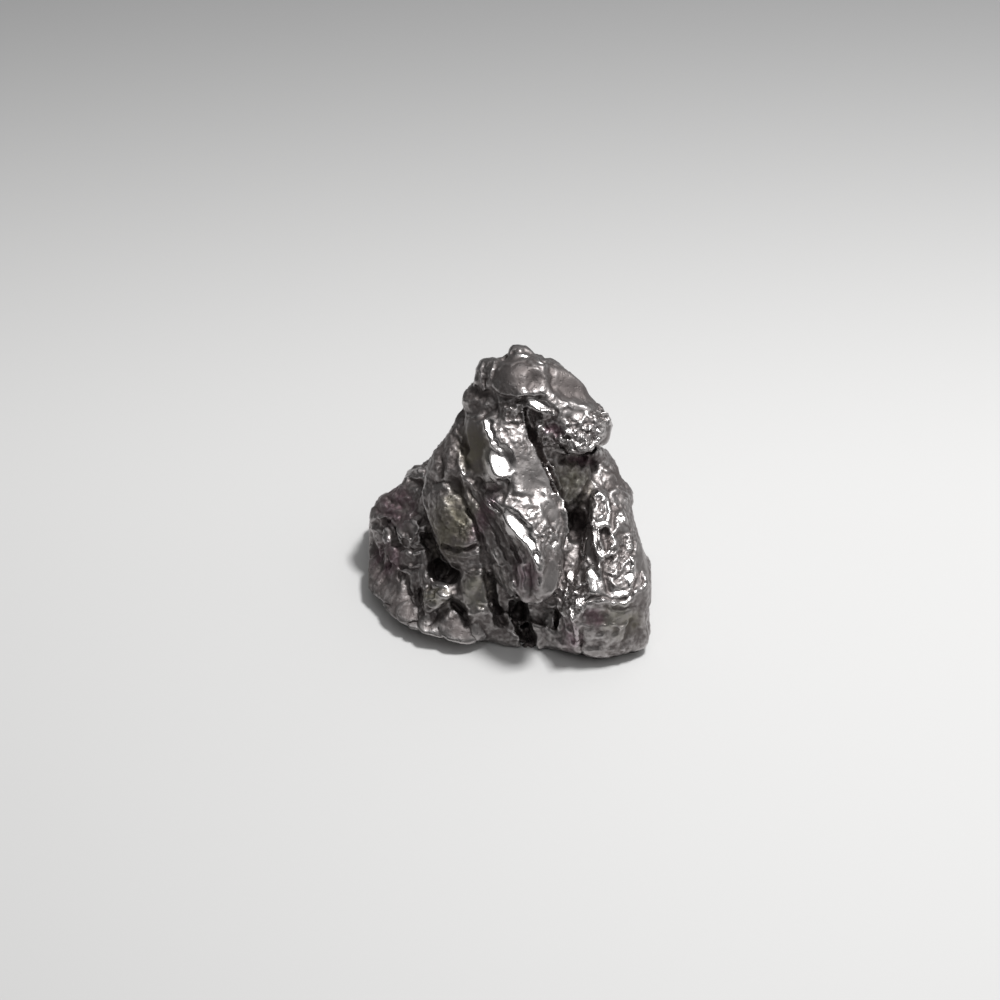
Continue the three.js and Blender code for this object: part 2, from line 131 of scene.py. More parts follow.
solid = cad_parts["meteorite"].data.copy()
solid.materials.clear()
solid.vertices.foreach_set("co", (vertex_numbers(solid, "co") / MM).ravel())
solid = mesh_after(solid, ("WELD", {"merge_threshold": 0.002}))

# %% Close the slits at the back, then lay the net
BACK_LOW = np.array((-8.0, 3.0, -1.0))
BACK_HIGH = np.array((8.5, 20.0, 15.0))

corners = vertex_numbers(solid, "co")
corners = corners[np.all((corners > BACK_LOW) & (corners < BACK_HIGH), axis=1)]
body = bmesh.new()
body.from_mesh(solid)
made = bmesh.ops.convex_hull(body, input=[body.verts.new(corner) for corner in corners])
unused = {part for part in made["geom_interior"] + made["geom_unused"] if isinstance(part, bmesh.types.BMVert)}
bmesh.ops.delete(body, geom=list(unused), context="VERTS")
body.to_mesh(solid)
body.free()
clay = net_of(solid, ROUGH_NET, 4)
print("rough net:", len(clay.vertices), "points, back closed with", len(corners) - len(unused), "corners")

# %% [markdown]
# ## Tools for the clay
# A skin object holds every point of the net as face coordinates, with the direction it faces and
# how openly the camera's side sees it. Each tool works on the points near a path drawn on the face,
# so a ridge or a groove is one line in a table: its width, its height and a few corners.

# %% Skin of the stone
SIGHT_CELL = 0.3
SIGHT_DEPTH = 1.1
WOBBLE_SIZE = 0.8
WOBBLE = 0.3


def smoothstep(low, high, value):
    share = np.clip((value - low) / (high - low), 0, 1)
    return share * share * (3 - 2 * share)


class Skin:
    def __init__(self, mesh):
        self.mesh = mesh
        self.place = to_face(vertex_numbers(mesh, "co"))
        edges = np.empty(len(mesh.edges) * 2, np.int32)
        mesh.edges.foreach_get("vertices", edges)
        self.edges = edges.reshape(-1, 2)
        self.degree = np.bincount(edges, minlength=len(self.place))
        self.wobble = WOBBLE * np.array([noise.noise_vector(Vector(p)) for p in self.place / WOBBLE_SIZE])
        self.refresh()

    def refresh(self):
        self.mesh.vertices.foreach_set("co", from_face(self.place).ravel().astype(np.float32))
        self.mesh.update()
        self.normal = vertex_numbers(self.mesh, "normal") @ FACE_AXES.T
        self.shown = self.in_sight() * smoothstep(0.02, 0.3, self.normal[:, 2])

    def in_sight(self):
        cell = np.floor(self.place[:, :2] / SIGHT_CELL).astype(int)
        cell -= cell.min(axis=0)
        nearest = np.full(cell.max(axis=0) + 1, -np.inf)
        np.maximum.at(nearest, (cell[:, 0], cell[:, 1]), self.place[:, 2])
        behind = nearest[cell[:, 0], cell[:, 1]] - self.place[:, 2]
        return 1 - smoothstep(SIGHT_DEPTH, 1.5 * SIGHT_DEPTH, behind)

    def neighbour_mean(self, values):
        a, b = self.edges.T
        count = len(self.place)
        total = [
            np.bincount(a, values[b, k], count) + np.bincount(b, values[a, k], count)
            for k in range(values.shape[1])
        ]
        return np.stack(total, axis=1) / self.degree[:, None]

    def melt(self, steps, share=0.5, where=1.0):
        weight = share * np.broadcast_to(where, len(self.place))[:, None]
        for _ in range(steps):
            self.place += weight * (self.neighbour_mean(self.place) - self.place)


# %% Ridge, groove, knob and planished facet
def near_path(skin, path, reach):
    path = np.array(path, float).reshape(-1, 2)
    low, high = path.min(axis=0) - reach, path.max(axis=0) + reach
    here = skin.place[:, :2] + skin.wobble[:, :2] * 0.6
    chosen = np.flatnonzero((skin.shown > 0) & np.all((here > low) & (here < high), axis=1))
    here = here[chosen]
    gap = np.full(len(here), np.inf)
    side = np.zeros(len(here))
    steps = list(zip(path, path[1:])) or [(path[0], path[0])]
    for start, end in steps:
        along = end - start
        share = np.clip((here - start) @ along / max(along @ along, 1e-9), 0, 1)
        off = here - start - share[:, None] * along
        length = np.hypot(off[:, 0], off[:, 1])
        closer = length < gap
        gap = np.where(closer, length, gap)
        side = np.where(closer, np.sign(along[0] * off[:, 1] - along[1] * off[:, 0]), side)
    return chosen, gap, side


def push(skin, chosen, amount):
    way = skin.normal[chosen] + (0, 0, 0.8)
    way /= np.linalg.norm(way, axis=1)[:, None]
    uneven = 1 + 1.6 * skin.wobble[chosen, 2]
    skin.place[chosen] += way * (amount * uneven * skin.shown[chosen])[:, None]


def round_ridge(skin, width, height, path):
    chosen, gap, _ = near_path(skin, path, width)
    push(skin, chosen, height * np.clip(1 - (gap / width) ** 2, 0, 1) ** 2)


def sharp_ridge(skin, width, height, path):
    chosen, gap, _ = near_path(skin, path, width)
    push(skin, chosen, height * np.clip(1 - gap / width, 0, 1) ** 1.4)


def lip(skin, width, height, path):
    """Rises gently from the left of the path, seen from its start, and drops sharply on its right."""
    chosen, gap, side = near_path(skin, path, width)
    reach = np.where(side > 0, width, 0.22 * width)
    push(skin, chosen, height * np.clip(1 - gap / reach, 0, 1) ** 1.5)


def planish(skin, size, turn, lean_right, lean_up, middle, strength, level=None, edge=0.3, ragged=1.0):
    """Hammers a rounded box flat. Its leans say how fast it rises to the right and up the face."""
    off = skin.place[:, :2] - middle
    wavy = off + ragged * skin.wobble[:, :2]
    c, s = math.cos(math.radians(turn)), math.sin(math.radians(turn))
    across = (wavy[:, 0] * c + wavy[:, 1] * s) / size[0]
    upward = (wavy[:, 1] * c - wavy[:, 0] * s) / size[1]
    ring = (np.abs(across) ** 2.5 + np.abs(upward) ** 2.5) ** 0.4
    chosen = np.flatnonzero((ring < 1) & (skin.shown > 0))
    if level is None:
        inner = chosen[ring[chosen] < 0.6]
        level = np.average(skin.place[inner, 2], weights=skin.shown[inner])
    flat = level + lean_right * off[chosen, 0] + lean_up * off[chosen, 1]
    share = strength * (1 - smoothstep(edge, 1, ring[chosen])) * skin.shown[chosen]
    skin.place[chosen, 2] += share * (flat - skin.place[chosen, 2])


def grab(skin, reach, move, middle):
    """Drags everything near one place of the face, outline included."""
    gap = np.hypot(*(skin.place[:, :2] - middle).T)
    front = smoothstep(-6, 0, skin.place[:, 2])
    skin.place += (front * (1 - smoothstep(0, 1, gap / reach)))[:, None] * move


def apply_strokes(skin, strokes, share=1.0):
    for tool, width, height, path in strokes:
        tool(skin, width, height * share, path)
    skin.refresh()


# %% [markdown]
# ## Deep hollows and crevices
# Light hardly reaches the bottom of these, so they must be real depth: painted black lines would
# look flat from the side. They are cut while the net is still coarse, because a second remesh then
# spreads fresh points over the stretched walls.

# %% Broad planes: half size, turn, rise to the right and upward, middle, strength and height
BROAD_PLANES = [
    ((1.8, 4.4), 3, 0.72, 0.02, (-3.6, 13.2), 0.85, None),
    ((2.5, 5.0), 22, -0.30, 0.0, (2.1, 11.0), 0.85, None),
    ((2.0, 1.2), 0, 0.35, -0.20, (-1.2, 9.1), 0.85, 14.1),
    ((1.6, 5.4), 28, 0.70, 0.12, (-1.8, 5.0), 0.8, None),
    ((2.8, 5.2), -10, 0.38, 0.10, (-5.6, 5.0), 0.75, None),
    ((1.8, 2.8), 0, 0.32, 0.05, (1.6, 0.2), 0.85, None),
    ((1.2, 2.4), 0, -0.50, 0.12, (4.0, 0.2), 0.9, None),
    ((3.1, 2.3), -38, -0.35, -0.12, (6.0, 19.5), 0.9, None),
    ((2.1, 2.5), 15, 0.02, 0.05, (3.6, 14.8), 0.9, 13.8),
    ((2.2, 1.8), -20, -0.10, 0.05, (3.3, 17.5), 0.95, 14.5),
    ((2.6, 1.5), -20, -0.32, 0.10, (6.5, 16.8), 0.8, None),
    ((2.0, 1.3), 0, -0.05, 0.35, (0.4, 16.8), 0.9, 14.0),
    ((2.4, 1.5), -10, -0.15, -0.30, (7.0, 14.5), 0.7, None),
    ((2.6, 2.2), -10, -0.08, -0.08, (1.6, 20.3), 0.6, None),
    ((2.4, 3.0), 0, -0.30, -0.25, (6.3, 9.6), 0.85, 10.7),
    ((1.4, 1.0), -10, -0.80, 0.20, (8.0, 12.6), 0.9, 10.2),
    ((1.7, 3.2), -12, 0.12, 0.15, (-3.3, -2.2), 0.8, None),
    ((3.6, 2.4), 0, -0.05, 0.15, (10.2, -4.6), 0.35, None),
    ((1.7, 2.6), 10, -0.10, 0.12, (4.6, -4.8), 0.8, None),
]
GRABS = [
    (2.0, (0.0, -0.5, 0.3), (6.6, 13.3)),
    (1.4, (0.35, -0.3, 0.0), (9.5, 13.8)),
    (1.6, (-0.4, 0.0, 0.0), (10.2, 16.6)),
    (1.8, (-0.35, -0.25, 0.0), (8.4, 19.0)),
    (2.4, (0.65, 0.0, 0.0), (-14.2, 3.0)),
    (1.3, (0.45, 0.35, 0.0), (-12.9, -2.3)),
]
FOLDS = [
    (round_ridge, 0.9, 0.35, [(-4.3, 9.6), (-3.0, 7.6), (-2.2, 5.6), (-1.4, 3.6), (-0.6, 1.6), (0.2, -0.6)]),
    (sharp_ridge, 0.6, -0.45, [(-3.4, 8.9), (-2.3, 7.2), (-1.3, 5.6), (-0.3, 4.0), (0.8, 2.2)]),
    (sharp_ridge, 0.6, -0.4, [(-5.4, 9.5), (-4.6, 8.0), (-3.9, 6.6)]),
    (sharp_ridge, 0.5, -0.35, [(-3.9, 6.6), (-3.2, 4.8), (-2.8, 3.2), (-2.5, 1.6)]),
    (round_ridge, 1.3, 0.25, [(-7.4, 8.6), (-6.8, 6.4), (-6.0, 4.6), (-5.0, 3.6)]),
    (round_ridge, 0.9, 0.5, [(-7.3, 12.4), (-7.5, 10.9)]),
    (round_ridge, 0.9, 0.3, [(-5.9, 14.2), (-6.1, 12.4), (-6.2, 11.0)]),
    (sharp_ridge, 0.6, -0.7, [(-4.9, 16.6), (-4.9, 14.8), (-4.7, 12.8), (-4.5, 11.2)]),
    (round_ridge, 0.8, 0.4, [(2.8, 2.9), (3.0, 1.6), (2.95, -0.6), (2.9, -1.8)]),
    (round_ridge, 1.0, 0.4, [(8.9, 8.0), (9.0, 6.4)]),
    (round_ridge, 0.9, 0.5, [(8.4, 5.2), (8.6, 3.6), (8.9, 2.2), (8.6, 0.6), (8.2, -0.6)]),
    (sharp_ridge, 0.7, -0.45, [(9.5, 5.2), (9.5, 3.8), (9.7, 2.2), (9.5, 0.2), (9.7, -1.2)]),
    (round_ridge, 0.9, 0.4, [(10.9, 6.6), (10.4, 4.2), (10.6, 2.6)]),
    (sharp_ridge, 0.6, -0.4, [(11.6, 5.4), (11.3, 3.6), (11.2, 2.4)]),
    (round_ridge, 0.8, 0.4, [(12.1, 2.0), (12.1, 0.2)]),
    (round_ridge, 0.8, 0.5, [(5.2, 13.0), (6.4, 12.8), (7.6, 13.2), (8.6, 13.0)]),
]

# %% Cut the crevices
HOLLOWS = [
    (round_ridge, 1.1, -2.2, [(6.7, 6.1), (6.7, 4.7)]),
    (round_ridge, 0.7, -0.9, [(5.4, 12.0), (7.4, 11.9)]),
    (round_ridge, 0.9, -0.5, [(8.2, 11.4), (7.9, 9.2), (7.2, 7.6)]),
    (sharp_ridge, 0.9, -3.0, [(0.9, -2.9), (1.2, -4.3), (1.7, -6.0), (1.9, -7.0)]),
    (sharp_ridge, 0.7, -0.9, [(-2.2, 1.0), (-1.9, -1.0), (-1.5, -2.8), (-0.8, -4.2)]),
    (round_ridge, 1.1, -2.4, [(-7.3, 0.9), (-5.9, 0.7)]),
    (sharp_ridge, 0.8, -1.8, [(-8.3, 4.6), (-7.8, 2.8), (-7.4, 1.2)]),
    (sharp_ridge, 0.7, -1.6, [(-7.7, -3.8), (-6.6, -3.1), (-5.6, -2.3), (-5.0, -3.2), (-4.5, -4.2)]),
    (sharp_ridge, 0.6, -1.2, [(-9.3, -1.0), (-9.2, -2.6), (-8.7, -4.3)]),
    (sharp_ridge, 0.7, -1.0, [(-10.6, 0.4), (-10.3, -1.2), (-9.8, -2.2)]),
    (sharp_ridge, 0.7, -0.6, [(-13.5, 5.6), (-12.8, 4.9)]),
    (sharp_ridge, 0.7, -1.0, [(-9.9, 10.0), (-9.0, 9.7)]),
    (round_ridge, 0.7, -0.4, [(-5.7, 10.3), (-5.3, 9.2)]),
    (sharp_ridge, 0.6, -0.5, [(-3.7, 19.3), (-2.9, 18.6), (-2.0, 18.6)]),
    (sharp_ridge, 0.5, -0.5, [(-1.6, 18.2), (-1.4, 17.2), (-1.2, 16.6)]),
    (sharp_ridge, 0.6, -0.5, [(-3.0, 9.6), (-2.4, 8.8)]),
    (sharp_ridge, 0.7, -0.8, [(-5.5, 14.4), (-4.6, 13.0)]),
    (sharp_ridge, 0.5, -0.8, [(7.0, -5.0), (7.1, -7.6)]),
]

skin = Skin(clay)
for size, turn, right, up, middle, strength, level in BROAD_PLANES:
    planish(skin, size, turn, right, up, middle, strength, level, 0.2)
    skin.refresh()
for reach, move, middle in GRABS:
    grab(skin, reach, move, middle)
skin.refresh()
apply_strokes(skin, FOLDS)
apply_strokes(skin, HOLLOWS)
skin.melt(1)
skin.refresh()
clay = net_of(skin.mesh, FINE_NET, 1)
print("fine net:", len(clay.vertices), "points")

# %% [markdown]
# ## Facets that catch the light
# Bare iron shows its form by what it mirrors: a patch is white where it turns the overhead lamp to
# the eye, and grey where it turns the floor or the room. So the bright and the calm patches are
# hammered flat at a chosen lean, as a smith planishes a sheet, and the lamp does the rest. Over the
# glinting patches the iron's colour is later made lighter too, partly as polish and partly as
# painted highlight.

# %% Glinting facets: half width, half height, turn and middle
GLINTS = [
    (0.5, 1.2, 15, (-2.2, 15.0)), (0.4, 1.1, 30, (-1.45, 13.4)),
    (0.4, 0.25, 20, (6.6, 13.4)), (0.35, 0.25, -20, (5.6, 14.8)), (0.4, 0.25, 20, (7.4, 15.1)),
    (0.4, 1.0, 50, (-1.6, 7.4)), 
    (0.5, 1.3, 22, (2.05, 3.6)), (0.3, 0.9, 20, (2.6, 2.2)), 
    (0.75, 0.5, -30, (8.9, 14.9)), (0.9, 0.3, 40, (8.5, 13.8)), (0.5, 0.35, -20, (9.2, 16.4)),
    (0.3, 0.6, 0, (9.6, 15.9)), (1.1, 0.55, 0, (8.9, 5.6)), (0.42, 1.5, 8, (8.45, 4.1)),
    (0.35, 1.0, 15, (9.0, 2.7)), (0.45, 0.8, 0, (10.1, 4.0)), (0.75, 0.4, 20, (10.0, 2.8)),
    (0.35, 0.5, 0, (11.9, 3.5)), (0.6, 0.5, 0, (11.3, 6.1)), (0.48, 0.75, 0, (12.0, 0.2)),
    (0.5, 0.4, 0, (11.6, 1.8)), (1.0, 0.55, -5, (10.9, -1.3)), 
    (1.0, 0.45, 40, (6.9, -2.0)), (0.25, 0.6, 20, (7.2, 2.5)), (0.6, 0.25, -10, (1.3, 22.4)),
    (0.35, 0.35, 0, (1.4, 19.0)), (0.25, 0.4, 0, (-4.6, 10.8)), (0.35, 1.0, 0, (9.75, 7.3)),
    (0.6, 0.35, 10, (8.9, 8.5)), (0.4, 0.7, 10, (6.0, 0.4)), (0.5, 0.45, 0, (5.7, -1.2)), (0.38, 1.0, 8, (6.2, -3.3)), (0.5, 0.3, 30, (4.3, 3.6)), (0.7, 0.35, 15, (2.2, 6.8)),
    (0.5, 0.3, -35, (3.0, 21.6)),
]
SOFT_GLINTS = [
    (1.5, 1.9, 25, (-1.0, 11.45)), (1.0, 2.3, 38, (0.75, 5.3)), (1.3, 0.65, -30, (2.75, 17.4)),
    (0.9, 1.5, 15, (8.2, 0.0)),
]
TO_LAMP = (-0.20, -0.49)

# %% Calm facets: half width, half height, turn, rise to the right, rise upward and middle
CALM_FACETS = [
    (1.8, 3.0, 25, -0.30, 0.02, (2.4, 10.2)), (1.0, 2.4, 12, -0.34, 0.05, (4.0, 7.0)),
    (0.8, 2.1, 10, 0.45, 0.05, (7.9, 2.9)), (1.1, 2.0, 0, -0.45, 0.10, (3.9, 0.0)),
    (1.5, 1.1, 0, 0.10, 0.25, (-10.8, 5.0)), (1.3, 0.8, 0, 0.15, 0.20, (-10.0, 2.1)),
    (0.9, 1.2, 10, 0.10, 0.40, (-9.9, -3.2)), (1.8, 1.0, -35, -0.10, 0.25, (-4.7, -5.1)),
    (0.9, 2.8, -5, -0.85, 0.05, (12.9, 1.6)),
    (0.9, 0.8, 0, -0.25, 0.20, (11.0, 4.7)), (0.7, 1.3, 0, -0.70, 0.20, (9.7, 14.4)),
    (1.5, 0.9, 0, 0.10, 0.35, (8.4, -6.7)), (1.3, 1.7, 0, 0.05, 0.12, (2.6, 20.3)), (2.2, 1.0, -20, -0.34, 0.12, (6.6, 17.1)),
]

# %% Planish the facets
skin = Skin(clay)
for wide, high, turn, right, up, middle in CALM_FACETS:
    planish(skin, (wide, high), turn, right, up, middle, 0.8)
skin.refresh()
for wide, high, turn, middle in SOFT_GLINTS:
    planish(skin, (wide * 1.2, high * 1.2), turn, *TO_LAMP, middle, 0.95, edge=0.4, ragged=0.3)
skin.refresh()
for wide, high, turn, middle in GLINTS:
    planish(skin, (wide * 1.1, high * 1.1), turn, *TO_LAMP, middle, 0.95, edge=0.5)
skin.refresh()
print("facets hammered:", len(SOFT_GLINTS) + len(GLINTS) + len(CALM_FACETS))

# %% [markdown]
# ## Ridges, folds and creases
# The metal flowed as it froze, so plates lap over each other like cold wax. A lip rises gently on
# one side and drops on the other, which is what an overlap looks like; a sharp ridge has a crest
# that catches a line of light; a round one is a bead. Negative heights cut creases.

# %% Thin crevices and the lamella beside them
CREVICES = [
    (sharp_ridge, 0.24, -1.6, [(1.45, 17.0), (1.6, 16.2), (1.8, 15.4)]),
    (sharp_ridge, 0.30, -2.2, [(1.85, 15.3), (2.5, 13.9), (3.0, 12.7), (3.5, 11.7)]),
    (sharp_ridge, 0.32, -2.3, [(3.5, 11.7), (3.9, 10.9), (4.35, 9.6), (4.7, 8.7)]),
    (sharp_ridge, 0.34, 0.5, [(4.1, 11.3), (4.5, 10.4), (4.85, 9.6), (4.75, 9.1)]),
    (sharp_ridge, 0.34, 0.55, [(4.45, 8.6), (4.95, 7.8), (5.2, 7.0), (5.45, 6.0), (5.45, 5.2), (5.7, 4.7)]),
    (sharp_ridge, 0.40, -1.2, [(0.2, -2.4), (0.3, -3.4), (0.8, -4.8), (1.6, -6.4)]),
]

# %% Head, brow and jaw
HEAD = [
    (lip, 0.9, 0.45, [(-1.0, 17.7), (0.0, 17.8), (0.9, 18.15), (1.6, 18.5)]),
    (sharp_ridge, 0.4, -0.5, [(3.95, 21.6), (4.1, 20.6), (4.15, 19.6), (4.4, 18.8)]),
    (round_ridge, 0.4, 0.2, [(3.65, 21.4), (3.6, 20.2), (3.8, 19.2)]),
    (round_ridge, 0.45, 0.3, [(-0.1, 22.8), (0.6, 23.2), (1.6, 23.1), (2.6, 22.5)]),
    (sharp_ridge, 0.4, -0.4, [(0.2, 22.6), (1.4, 22.75), (2.6, 22.2), (3.3, 21.7)]),
    (sharp_ridge, 0.35, 0.35, [(0.7, 22.5), (1.8, 22.4), (2.8, 21.9), (3.4, 21.3)]),
    (sharp_ridge, 0.3, -0.35, [(1.9, 22.0), (2.5, 21.5), (3.1, 21.1)]),
    (sharp_ridge, 0.3, 0.25, [(1.2, 22.1), (1.9, 21.8), (2.5, 21.2)]),
    (sharp_ridge, 0.3, -0.3, [(0.3, 21.1), (0.5, 21.6), (1.0, 21.75), (2.1, 21.4)]),
    (sharp_ridge, 0.35, 0.25, [(-1.7, 20.9), (-0.7, 21.35), (0.1, 21.4), (0.35, 21.1)]),
    (sharp_ridge, 0.35, 0.45, [(-1.5, 21.9), (-1.85, 21.0), (-2.0, 20.1), (-2.5, 19.0)]),
    (sharp_ridge, 0.35, 0.45, [(-3.05, 21.0), (-2.85, 20.1), (-2.6, 18.9)]),
    (sharp_ridge, 0.5, -0.6, [(-2.4, 21.2), (-2.4, 20.2), (-2.55, 19.5)]),
    (round_ridge, 0.8, -0.35, [(-0.8, 18.8), (0.1, 18.6)]),
    (sharp_ridge, 0.28, 0.4, [(0.0, 17.3), (0.15, 16.5), (0.5, 15.9)]),
    (sharp_ridge, 0.28, 0.45, [(1.5, 17.5), (1.35, 16.6), (1.4, 15.8)]),
    (sharp_ridge, 0.28, -0.45, [(0.9, 17.2), (0.95, 16.3), (1.2, 15.6)]),
    (sharp_ridge, 0.28, 0.35, [(-0.6, 17.1), (-0.4, 16.3), (-0.3, 15.6)]),
    (sharp_ridge, 0.25, -0.35, [(0.4, 17.4), (0.5, 16.6)]),
    (sharp_ridge, 0.3, -0.35, [(-0.2, 15.6), (0.4, 15.4), (1.0, 15.6)]),
    (sharp_ridge, 0.3, -0.4, [(2.0, 16.6), (2.8, 16.4), (3.6, 16.2)]),
    (lip, 0.6, 0.35, [(1.9, 17.1), (2.6, 16.85), (3.7, 16.8)]),
    (round_ridge, 0.35, 0.35, [(4.3, 16.6), (4.7, 17.1), (5.0, 16.6), (4.8, 16.2)]),
    (sharp_ridge, 0.3, -0.35, [(4.6, 16.9), (4.65, 16.4)]),
    (round_ridge, 0.3, 0.25, [(5.3, 17.2), (5.8, 17.4), (6.1, 17.1)]),
    (sharp_ridge, 0.4, -0.5, [(5.8, 16.2), (6.4, 15.6), (6.3, 15.2)]),
    (round_ridge, 0.35, 0.4, [(8.3, 16.3), (8.8, 16.6), (9.4, 16.5), (9.7, 16.1)]),
    (round_ridge, 0.3, -0.4, [(8.7, 16.2), (9.3, 16.2)]),
    (round_ridge, 0.35, 0.4, [(9.75, 16.6), (9.7, 15.9), (9.0, 15.6), (8.4, 15.7)]),
    (round_ridge, 0.45, 0.4, [(7.9, 15.2), (8.7, 15.0), (9.2, 14.5), (8.8, 14.1), (8.2, 13.5)]),
    (sharp_ridge, 0.35, -0.45, [(7.6, 15.6), (8.3, 15.6)]),
    (sharp_ridge, 0.4, -0.5, [(7.8, 14.6), (8.4, 13.9)]),
    (round_ridge, 0.4, 0.4, [(3.4, 14.8), (4.2, 14.0), (5.2, 13.6)]),
    (round_ridge, 0.35, 0.4, [(5.5, 12.8), (6.1, 12.6), (6.9, 12.8), (7.5, 13.1), (8.1, 13.0)]),
    (round_ridge, 0.8, -0.5, [(3.9, 15.3), (4.8, 14.9)]),
    (round_ridge, 0.3, 0.35, [(5.4, 14.5), (6.3, 14.6), (7.2, 14.1)]),
    (sharp_ridge, 0.35, -0.45, [(5.2, 14.1), (6.2, 14.1), (7.0, 13.7)]),
    (round_ridge, 0.3, 0.35, [(7.2, 15.9), (7.5, 16.5), (7.8, 16.2)]),
    (sharp_ridge, 0.3, -0.35, [(5.0, 15.3), (5.6, 15.2), (6.2, 14.9)]),
    (sharp_ridge, 0.35, 0.5, [(2.3, 16.0), (2.7, 15.2), (3.0, 14.4), (3.3, 13.4)]),
]

# %% Slab and the lower ridge
SLAB = [
    (sharp_ridge, 0.32, 0.25, [(-2.5, 15.9), (-2.4, 15.0), (-1.9, 14.0)]),
    (sharp_ridge, 0.35, -0.35, [(-1.6, 10.1), (-0.7, 9.75), (0.0, 9.8), (0.5, 10.4)]),
    (round_ridge, 0.5, -0.25, [(-1.8, 13.1), (-1.2, 13.0)]),
    (round_ridge, 0.22, -0.25, [(-0.15, 11.0)]),
    (round_ridge, 0.25, -0.15, [(-1.2, 11.2)]),
    (round_ridge, 0.9, -0.4, [(-1.9, 9.2), (-0.9, 8.8)]),
]
DISC = [
    (round_ridge, 0.32, 0.3, [(0.1, 7.1), (-0.4, 7.6), (-0.45, 8.3), (0.0, 8.8), (0.9, 8.85), (1.8, 8.6), (2.6, 8.3)]),
    (round_ridge, 0.32, 0.35, [(2.9, 7.6), (2.9, 7.0), (2.2, 6.5), (1.3, 6.25), (0.6, 6.3)]),
    (sharp_ridge, 0.3, -0.4, [(-0.1, 8.5), (0.6, 8.5), (1.4, 8.25), (2.2, 8.3)]),
    (sharp_ridge, 0.25, 0.3, [(0.0, 8.15), (0.6, 8.3), (1.1, 8.05)]),
    (sharp_ridge, 0.25, 0.3, [(0.7, 8.0), (0.4, 7.5), (0.1, 7.1)]),
    (sharp_ridge, 0.3, 0.35, [(1.2, 7.4), (1.9, 7.65), (2.6, 7.6)]),
    (sharp_ridge, 0.35, -0.4, [(0.6, 7.2), (1.6, 7.0), (2.5, 7.25)]),
    (sharp_ridge, 0.3, 0.3, [(2.1, 5.5), (2.8, 6.0), (3.2, 6.6), (3.4, 7.1)]),
    (sharp_ridge, 0.28, -0.35, [(1.9, 5.95), (2.6, 6.25)]),
    (sharp_ridge, 0.22, -0.35, [(3.4, 6.4), (3.9, 5.75), (4.3, 5.85)]),
    (sharp_ridge, 0.25, 0.25, [(3.4, 5.1), (4.0, 5.4)]),
    (sharp_ridge, 0.25, 0.25, [(3.8, 4.6), (4.1, 5.0)]),
    (round_ridge, 0.32, 0.35, [(2.9, 3.9), (3.6, 4.2), (4.3, 4.3), (4.9, 4.3), (5.05, 3.8), (4.7, 3.4), (4.0, 3.5)]),
    (round_ridge, 0.45, -0.35, [(3.9, 3.85), (4.4, 3.85)]),
    (sharp_ridge, 0.3, -0.3, [(3.0, 3.3), (3.6, 3.1), (4.2, 2.6)]),
    (sharp_ridge, 0.3, 0.28, [(-1.0, 14.9), (-0.5, 14.0), (0.0, 13.0)]),
    (sharp_ridge, 0.3, 0.28, [(-0.2, 15.2), (0.3, 14.3), (0.7, 13.5)]),
    (sharp_ridge, 0.3, 0.28, [(0.6, 15.0), (1.0, 14.0), (1.3, 13.2)]),
    (sharp_ridge, 0.3, -0.3, [(-0.6, 15.0), (-0.1, 14.0), (0.4, 12.9)]),
    (sharp_ridge, 0.3, -0.3, [(0.3, 15.1), (0.7, 14.2), (1.0, 13.5)]),
    (sharp_ridge, 0.28, 0.35, [(1.6, 14.0), (1.75, 13.3), (1.9, 12.7)]),
    (sharp_ridge, 0.28, -0.3, [(1.3, 14.2), (1.5, 13.2), (1.5, 12.5)]),
    (sharp_ridge, 0.35, 0.18, [(2.4, 10.2), (3.0, 9.9), (3.6, 9.5)]),
    (lip, 1.0, 0.35, [(-2.3, 7.9), (-1.2, 6.7), (-0.5, 5.9), (0.3, 4.9), (1.1, 3.9), (1.9, 2.9), (2.8, 1.0)]),
    (round_ridge, 0.4, -0.25, [(1.3, 4.9), (1.6, 4.5)]),
    (sharp_ridge, 0.3, -0.35, [(-1.2, 6.6), (-0.6, 7.1)]),
    (sharp_ridge, 0.4, 0.2, [(2.95, 1.6), (3.05, 0.2), (3.0, -1.2)]),
    (lip, 0.7, 0.2, [(0.7, -1.9), (1.8, -2.3), (3.0, -2.1), (4.0, -1.2), (4.8, -0.1)]),
]

# %% Ribs of the lower ridge
RIBS = [
    (sharp_ridge, 0.42, 0.5, [(-4.3, 10.0), (-3.2, 8.8), (-2.4, 7.7), (-1.5, 6.4), (-0.8, 5.2), (0.0, 3.7)]),
    (sharp_ridge, 0.36, -0.5, [(-4.3, 9.2), (-3.3, 7.7), (-2.4, 6.2), (-1.6, 4.8), (-0.8, 3.3), (0.0, 1.8)]),
    (sharp_ridge, 0.42, 0.5, [(-4.4, 8.4), (-3.6, 7.0), (-2.8, 5.4), (-2.1, 3.8), (-1.3, 2.2), (-0.7, 0.9)]),
    (sharp_ridge, 0.36, -0.5, [(-4.1, 7.0), (-3.3, 5.2), (-2.6, 3.4), (-2.0, 1.8)]),
    (sharp_ridge, 0.30, 0.35, [(-2.9, 9.2), (-2.0, 7.6), (-1.1, 6.2)]),
    (sharp_ridge, 0.32, -0.4, [(-1.0, 5.6), (-0.2, 4.3), (0.5, 3.0), (0.9, 2.0)]),
    (sharp_ridge, 0.32, 0.35, [(-0.5, 5.4), (0.2, 4.2), (0.9, 3.0), (1.4, 1.8)]),
    (round_ridge, 0.40, -0.4, [(0.2, 2.2), (0.6, 0.6), (0.6, -0.8)]),
    (sharp_ridge, 0.30, 0.3, [(1.2, 1.6), (1.5, 0.4), (1.4, -1.0)]),
    (sharp_ridge, 0.28, -0.3, [(1.9, 1.8), (2.0, 0.4), (2.0, -1.4)]),
    (sharp_ridge, 0.30, 0.3, [(-2.3, 1.2), (-1.6, 0.2), (-1.2, -1.2), (-1.0, -2.6)]),
    (sharp_ridge, 0.26, 0.3, [(-1.5, 1.6), (-0.7, 1.4), (-0.1, 1.7)]),
]

